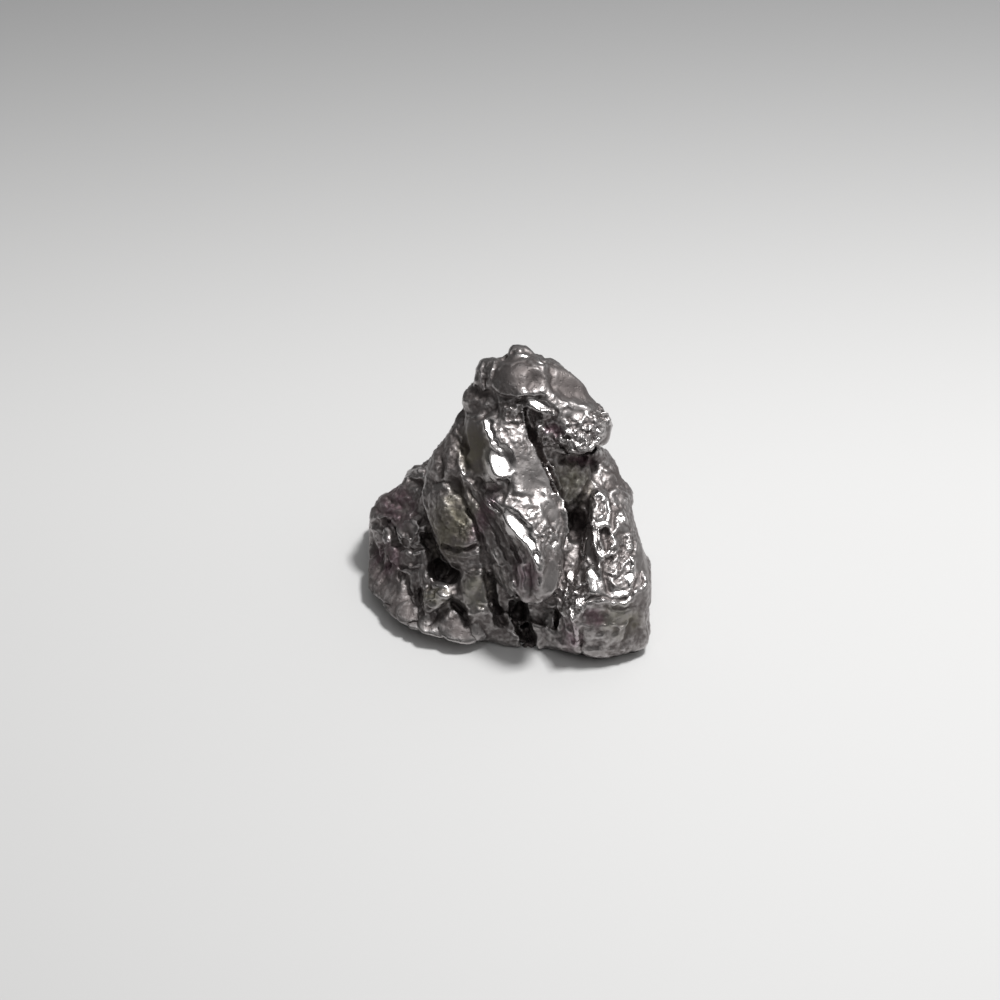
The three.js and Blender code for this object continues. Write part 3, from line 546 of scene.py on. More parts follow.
# %% Left flank, lower left and wing
LEFT = [
    (lip, 0.6, 0.35, [(-8.3, 10.9), (-8.75, 8.5), (-8.2, 6.4), (-7.4, 4.9), (-6.95, 3.7), (-7.2, 2.9), (-6.5, 1.7), (-5.8, 1.2)]),
    (sharp_ridge, 0.35, -0.6, [(-7.3, 9.75), (-6.6, 9.8), (-6.0, 9.7)]),
    (sharp_ridge, 0.35, 0.4, [(-7.5, 9.0), (-6.8, 9.25), (-6.0, 9.1)]),
    (round_ridge, 0.5, 0.3, [(-6.9, 8.4), (-6.2, 7.0), (-5.4, 6.0), (-4.7, 5.2)]),
    (sharp_ridge, 0.4, -0.35, [(-7.3, 7.6), (-7.0, 6.4), (-6.4, 5.2)]),
    (round_ridge, 0.28, 0.3, [(-5.1, 5.5)]),
    (round_ridge, 0.28, 0.3, [(-4.5, 5.3)]),
    (round_ridge, 0.28, 0.3, [(-4.9, 4.8)]),
    (round_ridge, 0.28, 0.3, [(-4.2, 4.7)]),
    (sharp_ridge, 0.35, -1.0, [(-6.8, 3.4), (-5.6, 3.1), (-4.5, 3.0), (-3.3, 3.5)]),
    (lip, 0.5, 0.3, [(-6.4, 2.6), (-5.4, 2.35), (-4.3, 2.3), (-3.1, 2.6)]),
    (sharp_ridge, 0.4, 0.35, [(-7.7, 12.2), (-7.4, 11.2), (-7.3, 10.3)]),
    (sharp_ridge, 0.4, -0.45, [(-7.0, 12.4), (-6.8, 11.2), (-6.9, 10.4)]),
    (sharp_ridge, 0.35, 0.35, [(-6.0, 13.2), (-6.2, 12.0), (-6.3, 10.9)]),
    (sharp_ridge, 0.35, -0.35, [(-5.6, 12.8), (-5.5, 11.6)]),
    (sharp_ridge, 0.35, 0.35, [(-4.9, 12.9), (-5.0, 11.8), (-4.9, 11.0), (-4.5, 10.5)]),
    (lip, 0.6, 0.35, [(-4.8, 13.9), (-5.3, 14.8), (-5.9, 15.6)]),
    (sharp_ridge, 0.4, -0.45, [(-5.0, 17.0), (-4.0, 16.6), (-3.0, 16.8)]),
    (round_ridge, 0.45, 0.3, [(-4.4, 17.8), (-3.4, 17.9), (-2.4, 17.5)]),
    (sharp_ridge, 0.3, -0.35, [(-4.4, 16.2), (-3.3, 16.0), (-2.6, 16.2)]),
    (round_ridge, 0.7, -0.4, [(-4.1, 11.6), (-3.6, 10.8)]),
    (sharp_ridge, 0.35, 0.35, [(-10.6, 10.1), (-10.0, 10.45), (-9.5, 10.2), (-9.0, 10.2)]),
    (round_ridge, 0.5, 0.2, [(-9.3, 11.0)]),
    (lip, 0.6, 0.35, [(-13.9, 5.9), (-13.5, 6.15), (-12.9, 6.25), (-12.0, 6.2)]),
    (sharp_ridge, 0.3, 0.4, [(-13.8, 5.1), (-13.4, 4.8), (-13.0, 4.6)]),
    (sharp_ridge, 0.35, -0.5, [(-12.2, 5.4), (-11.9, 4.8), (-11.0, 3.9), (-10.3, 3.6), (-9.5, 4.0)]),
    (sharp_ridge, 0.35, -0.5, [(-11.4, 3.2), (-10.0, 3.0), (-8.9, 3.0)]),
    (sharp_ridge, 0.35, -0.45, [(-11.0, 1.3), (-9.8, 1.1), (-9.2, 1.2)]),
    (sharp_ridge, 0.35, 0.3, [(-11.3, 1.0), (-10.6, 0.9), (-9.9, 0.5)]),
    (lip, 0.5, 0.3, [(-14.0, 0.2), (-13.2, -1.0), (-12.3, -1.9), (-11.5, -2.8)]),
    (lip, 0.5, 0.3, [(-11.6, -3.4), (-11.3, -4.1), (-10.5, -4.7), (-9.0, -4.8), (-7.6, -5.5), (-6.3, -5.8)]),
    (round_ridge, 0.4, 0.35, [(-11.6, 8.4), (-10.9, 8.0), (-10.3, 8.3)]),
    (sharp_ridge, 0.35, 0.35, [(-12.9, 7.6), (-12.2, 7.0), (-11.3, 7.0)]),
    (sharp_ridge, 0.4, -0.4, [(-12.4, 8.2), (-11.6, 7.6), (-10.6, 7.3), (-9.8, 7.5)]),
    (round_ridge, 0.35, 0.3, [(-11.0, 9.3), (-10.2, 8.9), (-9.4, 9.1)]),
    (sharp_ridge, 0.35, -0.35, [(-13.6, 7.2), (-12.8, 6.7), (-12.0, 6.6)]),
    (round_ridge, 0.3, 0.3, [(-13.1, 3.3)]),
    (sharp_ridge, 0.3, -0.35, [(-13.4, 2.2), (-12.9, 1.6), (-13.1, 0.8)]),
    (lip, 0.5, 0.3, [(-9.0, 1.2), (-9.0, -0.5), (-9.0, -2.0), (-8.7, -3.2), (-8.1, -4.0)]),
    (round_ridge, 0.28, 0.4, [(-8.5, 1.0), (-8.55, 0.3), (-8.2, -0.1), (-7.8, 0.3)]),
    (sharp_ridge, 0.35, -0.35, [(-8.6, -0.9), (-7.6, -0.9), (-6.4, -1.0)]),
    (sharp_ridge, 0.32, 0.4, [(-7.5, -1.35), (-6.8, -1.55), (-5.8, -1.5)]),
    (lip, 0.6, 0.3, [(-8.9, -2.1), (-7.6, -1.95), (-6.2, -1.8)]),
    (sharp_ridge, 0.3, 0.35, [(-4.1, 1.0), (-3.4, 0.85), (-2.8, 0.95)]),
    (lip, 0.5, 0.35, [(-4.3, 0.6), (-3.4, 0.35), (-2.7, 0.6)]),
    (sharp_ridge, 0.35, -0.4, [(-3.9, -4.3), (-3.1, -4.1), (-2.7, -4.8), (-2.3, -5.6)]),
    (sharp_ridge, 0.3, -0.3, [(-2.9, -2.6), (-2.0, -2.5)]),
    (round_ridge, 0.45, 0.25, [(-4.0, -3.4), (-2.8, -3.0), (-1.8, -3.4)]),
    (sharp_ridge, 0.35, -0.45, [(-4.2, -4.2), (-3.7, -5.2), (-3.3, -6.0)]),
    (sharp_ridge, 0.3, -0.35, [(-7.0, -4.6), (-6.2, -5.3), (-5.6, -5.8)]),
    (sharp_ridge, 0.3, 0.35, [(-5.6, -3.0), (-5.2, -3.7)]),
    (sharp_ridge, 0.3, 0.45, [(-1.2, -3.9), (-0.5, -4.8), (0.3, -5.3), (1.0, -5.95)]),
    (round_ridge, 0.25, 0.3, [(-0.6, 0.9)]),
    (round_ridge, 0.25, 0.3, [(-0.15, 0.7)]),
    (round_ridge, 0.25, 0.3, [(0.3, -0.1)]),
]

# %% Right ridge, block and hollow wall
RIGHT = [
    (round_ridge, 0.35, 0.4, [(8.3, 8.4), (8.9, 8.7), (9.5, 8.3), (9.8, 7.5), (9.95, 6.5), (9.9, 5.2)]),
    (round_ridge, 0.3, 0.4, [(8.25, 7.0), (8.1, 6.2), (8.2, 5.2)]),
    (sharp_ridge, 0.4, -0.55, [(8.7, 8.1), (9.15, 7.6), (8.8, 7.0)]),
    (sharp_ridge, 0.32, -0.45, [(8.5, 6.6), (9.2, 6.7), (9.6, 6.9)]),
    (sharp_ridge, 0.3, 0.4, [(8.3, 5.3), (8.35, 4.2), (8.7, 3.1), (9.1, 2.2)]),
    (sharp_ridge, 0.25, 0.35, [(8.75, 5.2), (8.85, 4.2), (9.15, 3.2), (9.35, 2.4)]),
    (sharp_ridge, 0.22, -0.4, [(8.55, 5.0), (8.6, 4.1), (8.95, 3.0)]),
    (round_ridge, 0.6, -0.7, [(9.4, 5.0), (9.4, 4.3), (9.7, 3.9)]),
    (round_ridge, 0.22, 0.35, [(9.2, 4.0)]),
    (round_ridge, 0.4, 0.4, [(10.1, 4.5), (10.3, 3.6), (9.8, 2.8)]),
    (sharp_ridge, 0.32, -0.5, [(9.9, 2.1), (10.5, 2.4), (10.9, 2.8)]),
    (sharp_ridge, 0.35, -0.4, [(10.3, 7.6), (10.25, 6.2), (10.2, 5.2)]),
    (round_ridge, 0.7, 0.4, [(11.2, 6.1)]),
    (round_ridge, 0.5, -0.4, [(10.8, 7.2)]),
    (sharp_ridge, 0.32, 0.4, [(11.7, 5.6), (12.1, 5.1), (12.4, 4.7)]),
    (round_ridge, 0.7, -0.35, [(11.1, 4.7)]),
    (sharp_ridge, 0.32, 0.35, [(11.6, 3.9), (11.9, 3.2)]),
    (sharp_ridge, 0.3, 0.35, [(12.5, 3.8), (12.6, 3.0)]),
    (sharp_ridge, 0.3, -0.35, [(12.2, 3.9), (12.3, 2.8)]),
    (round_ridge, 0.32, 0.4, [(11.2, 1.5), (11.6, 1.9), (12.1, 2.1), (12.3, 1.5), (12.4, 0.9)]),
    (round_ridge, 0.45, -0.4, [(11.8, 1.3), (11.8, 0.8)]),
    (sharp_ridge, 0.25, 0.35, [(9.7, 0.9), (10.2, 0.6), (10.6, 1.0)]),
    (sharp_ridge, 0.25, 0.35, [(10.0, -0.1), (10.5, -0.5)]),
    (sharp_ridge, 0.25, -0.35, [(9.9, 0.4), (10.6, 0.2), (11.1, 0.6)]),
    (sharp_ridge, 0.32, -0.4, [(9.25, 1.8), (9.3, 0.4), (9.6, -0.6), (10.1, -1.4)]),
    (round_ridge, 0.6, 0.4, [(7.9, 0.9), (8.4, 0.0), (8.3, -1.0), (7.4, -1.7), (6.5, -2.4), (6.1, -3.0), (6.05, -3.9)]),
    (round_ridge, 0.55, 0.35, [(6.9, -0.5)]),
    (sharp_ridge, 0.3, -0.4, [(6.2, -0.2), (6.3, -0.9), (7.1, -1.0), (7.5, -0.4)]),
    (sharp_ridge, 0.28, 0.35, [(5.8, -1.1), (6.4, -1.2)]),
    (sharp_ridge, 0.28, 0.35, [(5.6, -1.9), (6.2, -1.9)]),
    (sharp_ridge, 0.25, -0.35, [(5.7, -1.5), (6.4, -1.5)]),
    (sharp_ridge, 0.25, -0.35, [(5.4, -2.3), (6.1, -2.2)]),
    (sharp_ridge, 0.32, 0.4, [(7.1, 3.1), (7.3, 2.5), (7.8, 1.9), (8.2, 1.3)]),
    (sharp_ridge, 0.28, 0.35, [(3.8, -2.5), (4.6, -2.75)]),
    (sharp_ridge, 0.28, 0.35, [(4.4, -3.1), (5.0, -3.1), (5.3, -3.6)]),
    (sharp_ridge, 0.28, -0.35, [(4.4, -2.9), (5.2, -2.9), (5.6, -3.4)]),
    (round_ridge, 0.5, 0.35, [(5.5, 10.2)]),
    (round_ridge, 0.5, 0.35, [(6.3, 10.9)]),
    (round_ridge, 0.5, 0.35, [(6.6, 9.8)]),
    (round_ridge, 0.5, 0.35, [(5.6, 9.0)]),
    (sharp_ridge, 0.3, 0.4, [(7.0, 8.6), (7.3, 9.2), (7.5, 10.2), (7.2, 11.0)]),
    (sharp_ridge, 0.3, 0.4, [(6.1, 6.9), (6.6, 7.4)]),
    (sharp_ridge, 0.25, 0.35, [(6.8, 8.2), (6.9, 7.7)]),
    (sharp_ridge, 0.32, 0.4, [(9.3, 11.8), (9.9, 11.5), (10.4, 10.9)]),
    (sharp_ridge, 0.28, -0.35, [(9.2, 11.6), (9.9, 11.2), (10.3, 10.6)]),
    (sharp_ridge, 0.28, 0.35, [(9.3, 11.2), (9.8, 10.9)]),
    (sharp_ridge, 0.28, 0.35, [(9.9, 10.1), (10.2, 10.4), (10.5, 10.1)]),
    (sharp_ridge, 0.4, 0.4, [(10.3, 8.9), (10.9, 9.0), (11.2, 8.4), (11.5, 7.8)]),
    (sharp_ridge, 0.35, -0.4, [(10.5, 8.5), (10.8, 7.8)]),
    (sharp_ridge, 0.28, 0.35, [(11.6, 8.1), (12.0, 8.1)]),
]

BLOCK = [
    (round_ridge, 0.4, 0.35, [(6.7, -3.4), (7.3, -2.5), (8.3, -1.95), (9.4, -1.95), (10.6, -2.25), (11.5, -2.35)]),
    (round_ridge, 0.4, 0.3, [(11.5, -2.35), (12.2, -1.6), (12.9, -0.8), (13.6, -0.3)]),
    (sharp_ridge, 0.28, -0.4, [(7.4, -2.0), (8.4, -1.55), (9.6, -1.65), (11.0, -1.95), (11.8, -1.6), (12.6, -0.6)]),
    (sharp_ridge, 0.35, -0.3, [(7.0, -3.9), (7.8, -2.9), (9.0, -2.6), (10.2, -2.75), (11.2, -2.95), (12.2, -2.4)]),
    (round_ridge, 1.2, -0.5, [(8.0, -3.7), (9.2, -3.6)]),
    (round_ridge, 0.35, 0.3, [(10.3, -4.5), (10.6, -4.7)]),
    (round_ridge, 0.7, -0.35, [(8.8, -5.1), (10.3, -5.1)]),
    (round_ridge, 0.35, 0.3, [(10.9, -4.9), (11.4, -4.6), (11.6, -4.2)]),
    (sharp_ridge, 0.35, -0.35, [(11.2, -6.3), (11.7, -5.2), (12.0, -4.0)]),
    (round_ridge, 0.4, -0.3, [(12.3, -4.5)]),
    (round_ridge, 0.4, 0.25, [(13.2, -2.8), (13.2, -4.5), (13.2, -6.2)]),
    (round_ridge, 0.4, 0.3, [(6.4, -4.4), (6.7, -5.6), (6.9, -6.8)]),
    (sharp_ridge, 0.32, -0.35, [(5.8, -4.0), (6.1, -5.2), (6.3, -6.2)]),
    (sharp_ridge, 0.3, 0.25, [(5.3, -3.8), (5.6, -5.0)]),
]

for strokes, share in ((CREVICES, 1.0), (HEAD, 0.45), (SLAB, 0.4), (DISC, 0.17), (RIBS, 0.6), (LEFT, 0.55), (RIGHT, 0.4), (BLOCK, 0.65)):
    apply_strokes(skin, strokes, share)
skin.melt(8, 0.5, 1 - skin.shown)
skin.refresh()
print("strokes drawn:", sum(map(len, (CREVICES, HEAD, SLAB, DISC, RIBS, LEFT, RIGHT, BLOCK))))

# %% [markdown]
# ## Crystal faces and natural relief
# Where the iron tore, on the jaw and the right ridge, it broke along its crystals into small tilted
# faces. Each cell of a Voronoi pattern is given a lean of its own, as a broken lump of sugar has.
# Everywhere else the surface still rolls and crinkles a little. Layers of noise at four sizes do
# that, strong on the back, and gentle on the face, where the drawn ridges already tell the story.

# %% Soft spots on the face
def spot_share(skin, spots, edge=0.45):
    place = skin.place + 1.5 * skin.wobble
    share = np.zeros(len(place))
    for right, up, half_width, half_height, turn in spots:
        c, s = math.cos(math.radians(turn)), math.sin(math.radians(turn))
        x, y = place[:, 0] - right, place[:, 1] - up
        ring = np.hypot((x * c + y * s) / half_width, (y * c - x * s) / half_height)
        share = np.maximum(share, 1 - smoothstep(edge, 1, ring))
    return share


SMOOTH_SPOTS = [
    (1.2, 21.0, 3.4, 3.4, -10), (6.3, 19.6, 3.4, 2.5, -35), (2.3, 10.2, 2.4, 4.4, 20),
    (-3.5, 13.4, 1.7, 4.2, 3), (13.0, 1.0, 1.2, 4.5, 0), (9.8, 14.4, 1.0, 1.6, 0),
    (6.8, 17.0, 2.3, 1.0, -15), (1.6, 0.2, 1.5, 2.4, 0), (2.8, 17.4, 1.6, 0.9, -20),
    (3.9, 7.0, 1.2, 2.8, 10), (-1.0, 11.3, 1.8, 1.5, -20), (0.9, 5.1, 1.1, 2.5, 42),
    (7.8, 3.0, 0.8, 2.4, 8), (3.8, 0.0, 1.4, 2.2, 0), (-10.9, 5.0, 1.8, 1.4, 0),
    (-3.4, -0.9, 1.6, 2.1, 0), (11.1, -4.2, 2.6, 2.0, 0), (-4.4, -5.3, 1.6, 1.0, -35),
    (11.2, 4.7, 1.0, 0.9, 0), (1.4, 7.8, 2.2, 1.6, 0),
]
CRYSTAL_SPOTS = [
    (6.9, 14.2, 3.4, 2.1, -10), (9.0, 16.6, 1.3, 1.5, 0), (3.6, 14.9, 2.1, 2.7, 15),
    (0.6, 16.4, 1.9, 1.7, 0), (10.2, 1.2, 1.2, 2.0, 0), (11.7, 3.2, 0.9, 2.4, 0),
    (6.2, -1.4, 2.0, 2.8, 20), (3.6, 4.6, 1.5, 1.6, 0), (-4.8, 5.2, 1.0, 1.0, 0),
]

CHUNK_SPOTS = [
    (-11.7, 2.8, 3.0, 4.6, 0), (-9.6, 4.6, 2.4, 3.0, 0), (-9.0, -1.6, 2.2, 2.0, 0),
]

# %% Noise over the points
FLOW = np.array([
    (0.92, 0.39, 0),
    (-0.22, 0.51, 0),
    (0, 0, 0.9),
])


def rolling(points, size, octaves=2):
    return np.array([noise.fractal(Vector(p), 0.9, 2.1, octaves) for p in points / size])


def folded(points, size, octaves=3):
    """Rounded tops with sharp creases between them, 0 in a crease."""
    return np.array([noise.turbulence(Vector(p), octaves, True) for p in points / size])


def crystal_relief(points, normals, size, steepness):
    """Height of a facet with its own lean at each point, level at the middle of its cell."""
    height = np.zeros(len(points))
    for i, (point, normal) in enumerate(zip(points / size, normals)):
        _, cells = noise.voronoi(Vector(point))
        lean = noise.cell_vector(cells[0] * 3.7 + Vector((0.5, 0.5, 0.5)))
        off = Vector(point) - cells[0]
        off -= Vector(normal) * off.dot(Vector(normal))
        height[i] = (lean * 2 - Vector((1, 1, 1))).dot(off)
    return height * size * steepness


# %% Raise the relief
UNDERCUT_RIM = 1.0
UNDERCUT_FOOT = 1.7
RIM_LIFT = 0.9

points = from_face(skin.place)
face_share = skin.in_sight() * smoothstep(-0.6, 0.1, skin.normal[:, 2])
smooth_share = spot_share(skin, SMOOTH_SPOTS) * face_share
crystal_share = spot_share(skin, CRYSTAL_SPOTS) * face_share
wild = 1 - 0.72 * face_share
warp = 0.55 * np.stack([rolling(points + 9 * k, 1.7, 1) for k in range(3)], axis=1)
flow = from_face(skin.place @ FLOW) + warp
relief = 0.40 * wild * rolling(points, 5.0, 2)
relief += 0.62 * wild * (folded(flow, 2.6) - 0.5)
relief += 0.20 * (1 - 0.3 * face_share) * (1 - 0.85 * smooth_share) * (folded(flow + 30, 1.15, 2) - 0.4)
relief += 0.07 * (1 - 0.8 * smooth_share) * rolling(points, 0.4, 2)
chunk_share = spot_share(skin, CHUNK_SPOTS) * face_share
for share, size, steepness in ((crystal_share, 0.65, 0.48), (chunk_share, 1.5, 0.38)):
    busy = np.flatnonzero(share > 0)
    normals = skin.normal[busy] @ FACE_AXES
    relief[busy] += share[busy] * crystal_relief(points[busy], normals, size, steepness)
# Ovals over every glint: they calm the relief here, and later lighten the iron, partly as polish and partly as painted
# highlight.
polish_and_highlight_spots = [(*middle, wide * 1.25, high * 1.25, turn) for wide, high, turn, middle in SOFT_GLINTS + GLINTS]
relief *= 1 - 0.75 * spot_share(skin, polish_and_highlight_spots, 0.6) * face_share
skin.place += skin.normal * relief[:, None]
points = from_face(skin.place)
outward = skin.normal @ FACE_AXES * (1, 1, 0)
lifted = smoothstep(-1.0, -5.0, points[:, 0]) + 0.35 * smoothstep(3, 7, points[:, 0])
rim = UNDERCUT_RIM * np.exp(-((points[:, 2] - 1.5) / 0.9) ** 2)
foot = UNDERCUT_FOOT * (1 - smoothstep(0.0, 1.1, points[:, 2]))
points += outward * (lifted * (rim - foot))[:, None]
skin.place = to_face(points)
overhang = smoothstep(-5.0, -9.0, points[:, 0]) * (1 - smoothstep(0.5, 3.5, points[:, 2]))
skin.place[:, 2] += RIM_LIFT * overhang
skin.melt(1, 0.25)
skin.refresh()
underside = (1 - smoothstep(0.9, 2.2, points[:, 2])) * smoothstep(-1, -4, points[:, 0])
skin.melt(25, 0.5, underside * (1 - skin.shown))
skin.refresh()
print("relief from", round(relief.min(), 2), "to", round(relief.max(), 2), "mm")

# %% [markdown]
# ## Size limit and seat
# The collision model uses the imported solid, so the skin has to stay in its box, and its foot has to
# stand on the ground. Points are clamped to the box, then the net is thinned to a weight that a
# viewer on a phone still turns smoothly. Thinning takes points from flat places first.

# %% Fit the box and thin the net
MOST_TRIANGLES = 194000

inside = np.clip(from_face(skin.place), np.array(cad_low) / MM, np.array(cad_high) / MM)
skin.place = to_face(inside)
skin.refresh()
triangles = sum(len(p.vertices) - 2 for p in skin.mesh.polygons)
holder = bpy.data.objects.new("thinning", skin.mesh)
bpy.context.scene.collection.objects.link(holder)
group = holder.vertex_groups.new(name="back")
back_share = np.round(1 - 0.85 * skin.shown, 1)
for share in np.unique(back_share):
    group.add(np.flatnonzero(back_share == share).tolist(), share, "REPLACE")
thin = holder.modifiers.new("thin", "DECIMATE")
thin.ratio = MOST_TRIANGLES / triangles
thin.vertex_group = "back"
thin.vertex_group_factor = 1.0
thinned = holder.evaluated_get(bpy.context.evaluated_depsgraph_get())
stone_mesh = bpy.data.meshes.new_from_object(thinned)
bpy.data.objects.remove(holder)
stone_mesh.validate()
skin = Skin(stone_mesh)
print("triangles before and after thinning:", triangles, sum(len(p.vertices) - 2 for p in stone_mesh.polygons))

# %% [markdown]
# ## Where the colours go
# Handling and tumbling polish the crests bright and leave dark oxide in the hollows. Both are read
# from the shape itself: a copy of the net is melted, and a point that stands proud of the melted
# copy is a crest. Three measures are kept as attributes on the points, so the finish moves with
# the stone. The tints are soft ovals on the face, where the oxide is more olive or more purple.
# Darker ovals are partly oxide and partly painted shade: under the jaw, in the neck gap, in the deep
# hollows and on the left-facing flanks. Lighter ovals over the glints are partly polish and partly
# painted highlight.

# %% Crest, hollow and tints
OLIVE_SPOTS = [
    (-5.6, 5.6, 3.4, 5.2, -15), (6.3, 9.8, 2.6, 3.2, 0), (-3.6, 13.0, 2.2, 3.6, 5),
    (-7.4, -1.6, 2.2, 1.4, 0), (-3.3, -1.0, 2.0, 2.8, 0), (10.9, -4.0, 3.0, 2.2, 0),
]
PURPLE_SPOTS = [
    (-11.4, 7.4, 2.8, 3.0, 0), (1.6, 0.4, 1.8, 3.0, 10), (8.4, -3.7, 2.0, 1.3, 0),
    (-1.5, 9.0, 1.3, 0.9, 0), (7.2, 12.0, 2.2, 1.0, 0), (4.3, 14.9, 1.5, 1.4, 0),
    (6.0, -5.6, 1.6, 2.6, 0), (-2.6, 6.4, 1.2, 5.0, -25), (-12.4, 2.0, 2.2, 2.6, 0),
]
# Darker ovals: partly darker oxide, partly painted shade under the jaw, in the neck gap, in the deep hollow and on the
# left-facing flanks.
OXIDE_AND_SHADE_SPOTS = [
    (-5.6, 5.2, 3.6, 6.2, -15), (-11.6, 7.6, 3.4, 3.2, 0), (-12.2, 1.8, 2.8, 3.0, 0),
    (-6.6, 0.9, 2.4, 1.6, 0), (6.6, 5.2, 1.0, 1.8, 0), (-3.6, 13.0, 2.0, 3.6, 5),
    (-6.4, 12.4, 2.6, 3.2, 0), (-3.4, 18.4, 1.8, 1.6, 0), (-9.6, -2.4, 2.2, 2.4, 0),
    (-13.4, 0.6, 2.0, 5.0, 0), (-2.0, 5.4, 1.4, 4.6, 25), (7.3, 12.2, 2.6, 1.0, 0),
    (8.4, -3.9, 1.6, 1.2, 0), (12.2, -4.8, 1.2, 1.6, 0), (-10.9, -2.8, 3.2, 2.6, 0),
    (-8.0, -4.4, 1.6, 1.2, 0), (-5.2, -4.6, 2.6, 1.6, -20), (1.4, 20.4, 3.0, 2.4, 0), (6.0, 19.8, 3.2, 2.2, -35), (4.2, 15.2, 1.0, 1.0, 0), (10.9, 10.2, 1.8, 2.4, 0),
]
WORN_SPOTS = [
    (2.8, 9.2, 2.6, 4.6, 20), (3.0, 16.8, 2.0, 1.6, 0), (3.9, 0.0, 1.2, 2.2, 0),
    (13.0, 1.4, 1.2, 3.6, 0), (-3.4, -1.6, 1.8, 2.4, 0),
    (8.4, -6.6, 2.2, 1.2, 0), (8.0, 2.8, 1.0, 2.4, 8), (6.5, 17.0, 2.8, 1.5, -20),
    (6.4, 13.6, 3.0, 2.2, 0), (7.0, -1.2, 2.4, 3.6, 0), (6.4, -4.4, 2.4, 2.6, 0), (3.5, 14.8, 1.8, 2.4, 15),
    (-7.4, -2.6, 1.6, 1.6, 0), (10.4, -4.2, 3.6, 2.6, 0), (4.5, -5.0, 3.2, 2.8, 0),
]


def store(mesh, name, values):
    attribute = mesh.attributes.new(name, "FLOAT", "POINT")
    attribute.data.foreach_set("value", values.astype(np.float32))


def stands_proud(skin, steps):
    melted = Skin(skin.mesh.copy())
    melted.melt(steps, 0.5)
    return np.einsum("ij,ij->i", skin.place - melted.place, skin.normal)


fine_proud = stands_proud(skin, 8)
broad_proud = stands_proud(skin, 60)
crest = np.clip(fine_proud / 0.05, -1, 1) * 0.5 + np.clip(broad_proud / 0.35, -1, 1) * 0.5
store(stone_mesh, "crest", crest)
# Ovals over the glints: partly real polish, partly painted highlight.
store(stone_mesh, "polish_and_highlight", spot_share(skin, polish_and_highlight_spots, 0.6) * skin.shown)
store(stone_mesh, "calm", spot_share(skin, SMOOTH_SPOTS, 0.5) * skin.shown)
store(stone_mesh, "torn", spot_share(skin, CRYSTAL_SPOTS, 0.4) * skin.shown)
store(stone_mesh, "olive", spot_share(skin, OLIVE_SPOTS, 0.2) * skin.shown)
store(stone_mesh, "purple", spot_share(skin, PURPLE_SPOTS, 0.2) * skin.shown)
store(stone_mesh, "worn", spot_share(skin, WORN_SPOTS, 0.3) * skin.shown)
# Painted shade and oxide: these darker ovals darken and dull the iron.
store(stone_mesh, "oxide_and_shade", spot_share(skin, OXIDE_AND_SHADE_SPOTS, 0.3) * skin.shown)
print("crest from", round(crest.min(), 2), "to", round(crest.max(), 2), "mean", round(crest.mean(), 2))

# %% [markdown]
# ## Shader sums
# A material is a sum on values, so it reads best as one. Each wire below is one socket that can be
# added, taken away and multiplied like a number, and every sum lays its own Math node.

# %% Wires and nodes
class Wire:
    def __init__(self, shader, socket):
        self.shader, self.socket = shader, socket

    def maths(self, operation, first, second):
        return self.shader.node("ShaderNodeMath", {"operation": operation}, {0: first, 1: second})

    def __add__(self, other):
        return self.maths("ADD", self, other)

    __radd__ = __add__

    def __sub__(self, other):
        return self.maths("SUBTRACT", self, other)

    def __rsub__(self, other):
        return self.maths("SUBTRACT", other, self)

    def __mul__(self, other):
        return self.maths("MULTIPLY", self, other)

    __rmul__ = __mul__


class Shader:
    def __init__(self, name):
        self.material = bpy.data.materials.new(name)
        self.material.use_nodes = True
        self.tree = self.material.node_tree
        self.finish = self.tree.nodes["Principled BSDF"]

    def node(self, kind, settings, values, output=0):
        node = self.tree.nodes.new(kind)
        for name, value in settings.items():
            setattr(node, name, value)
        for name, value in values.items():
            self.put(node.inputs[name], value)
        return Wire(self, node.outputs[output])

    def put(self, socket, value):
        if isinstance(value, Wire):
            self.tree.links.new(value.socket, socket)
        else:
            socket.default_value = value

    def ramp(self, value, low, high):
        """0 below low, 1 above high, and a soft step between."""
        values = {"Value": value, "From Min": low, "From Max": high}
        return self.node("ShaderNodeMapRange", {"interpolation_type": "SMOOTHSTEP"}, values)

    def blend(self, share, first, second):
        values = {0: share, 6: first, 7: second}
        return self.node("ShaderNodeMix", {"data_type": "RGBA", "clamp_factor": True}, values, 2)

    def attribute(self, name):
        return self.node("ShaderNodeAttribute", {"attribute_name": name}, {}, "Fac")

    def place(self):
        return self.node("ShaderNodeTexCoord", {}, {}, "Object")

    def cloud(self, place, size, detail=3.0):
        values = {"Vector": place, "Scale": 1 / size, "Detail": detail, "Roughness": 0.6}
        return self.node("ShaderNodeTexNoise", {}, values)

    def cells(self, place, size, settings):
        values = {"Vector": place, "Scale": 1 / size}
        return self.node("ShaderNodeTexVoronoi", settings, values, "Distance")


# %% [markdown]
# ## Bare iron with an oxide skin
# Worn nickel-iron is a clean grey metal that mirrors what is around it. Oxide dulls and darkens it,
# to a brown with an olive or a purple cast, and it gathers in hollows. One mask says how bare the
# iron is: high on the crests, low in the hollows, raised over the glints as partly polish and partly
# painted highlight, lowered in the darker ovals as partly oxide and partly painted shade, and broken
# up by noise. The colour, the roughness and the fine bump all follow that one mask, as they do on a
# real surface.

# %% Meteoritic iron
iron = Shader("meteoritic iron")
here = iron.place()
crest_wire = iron.attribute("crest")
# Darker ovals: partly oxide, partly painted shade.
oxide_and_shade_wire = iron.attribute("oxide_and_shade")
mottle = iron.cloud(here, 0.0016, 5.0)
speck = iron.cloud(here, 0.00035, 3.0)
# Painted highlight and polish: lighter, smoother iron over the glinting facets.
polish_and_highlight = iron.attribute("polish_and_highlight")
busy_wire = 1 - iron.attribute("calm") * 0.75
torn = iron.attribute("torn")
blotch = (mottle - 0.5) * 0.9 + (speck - 0.5) * (0.7 + torn * 1.6)
worn = iron.attribute("worn")
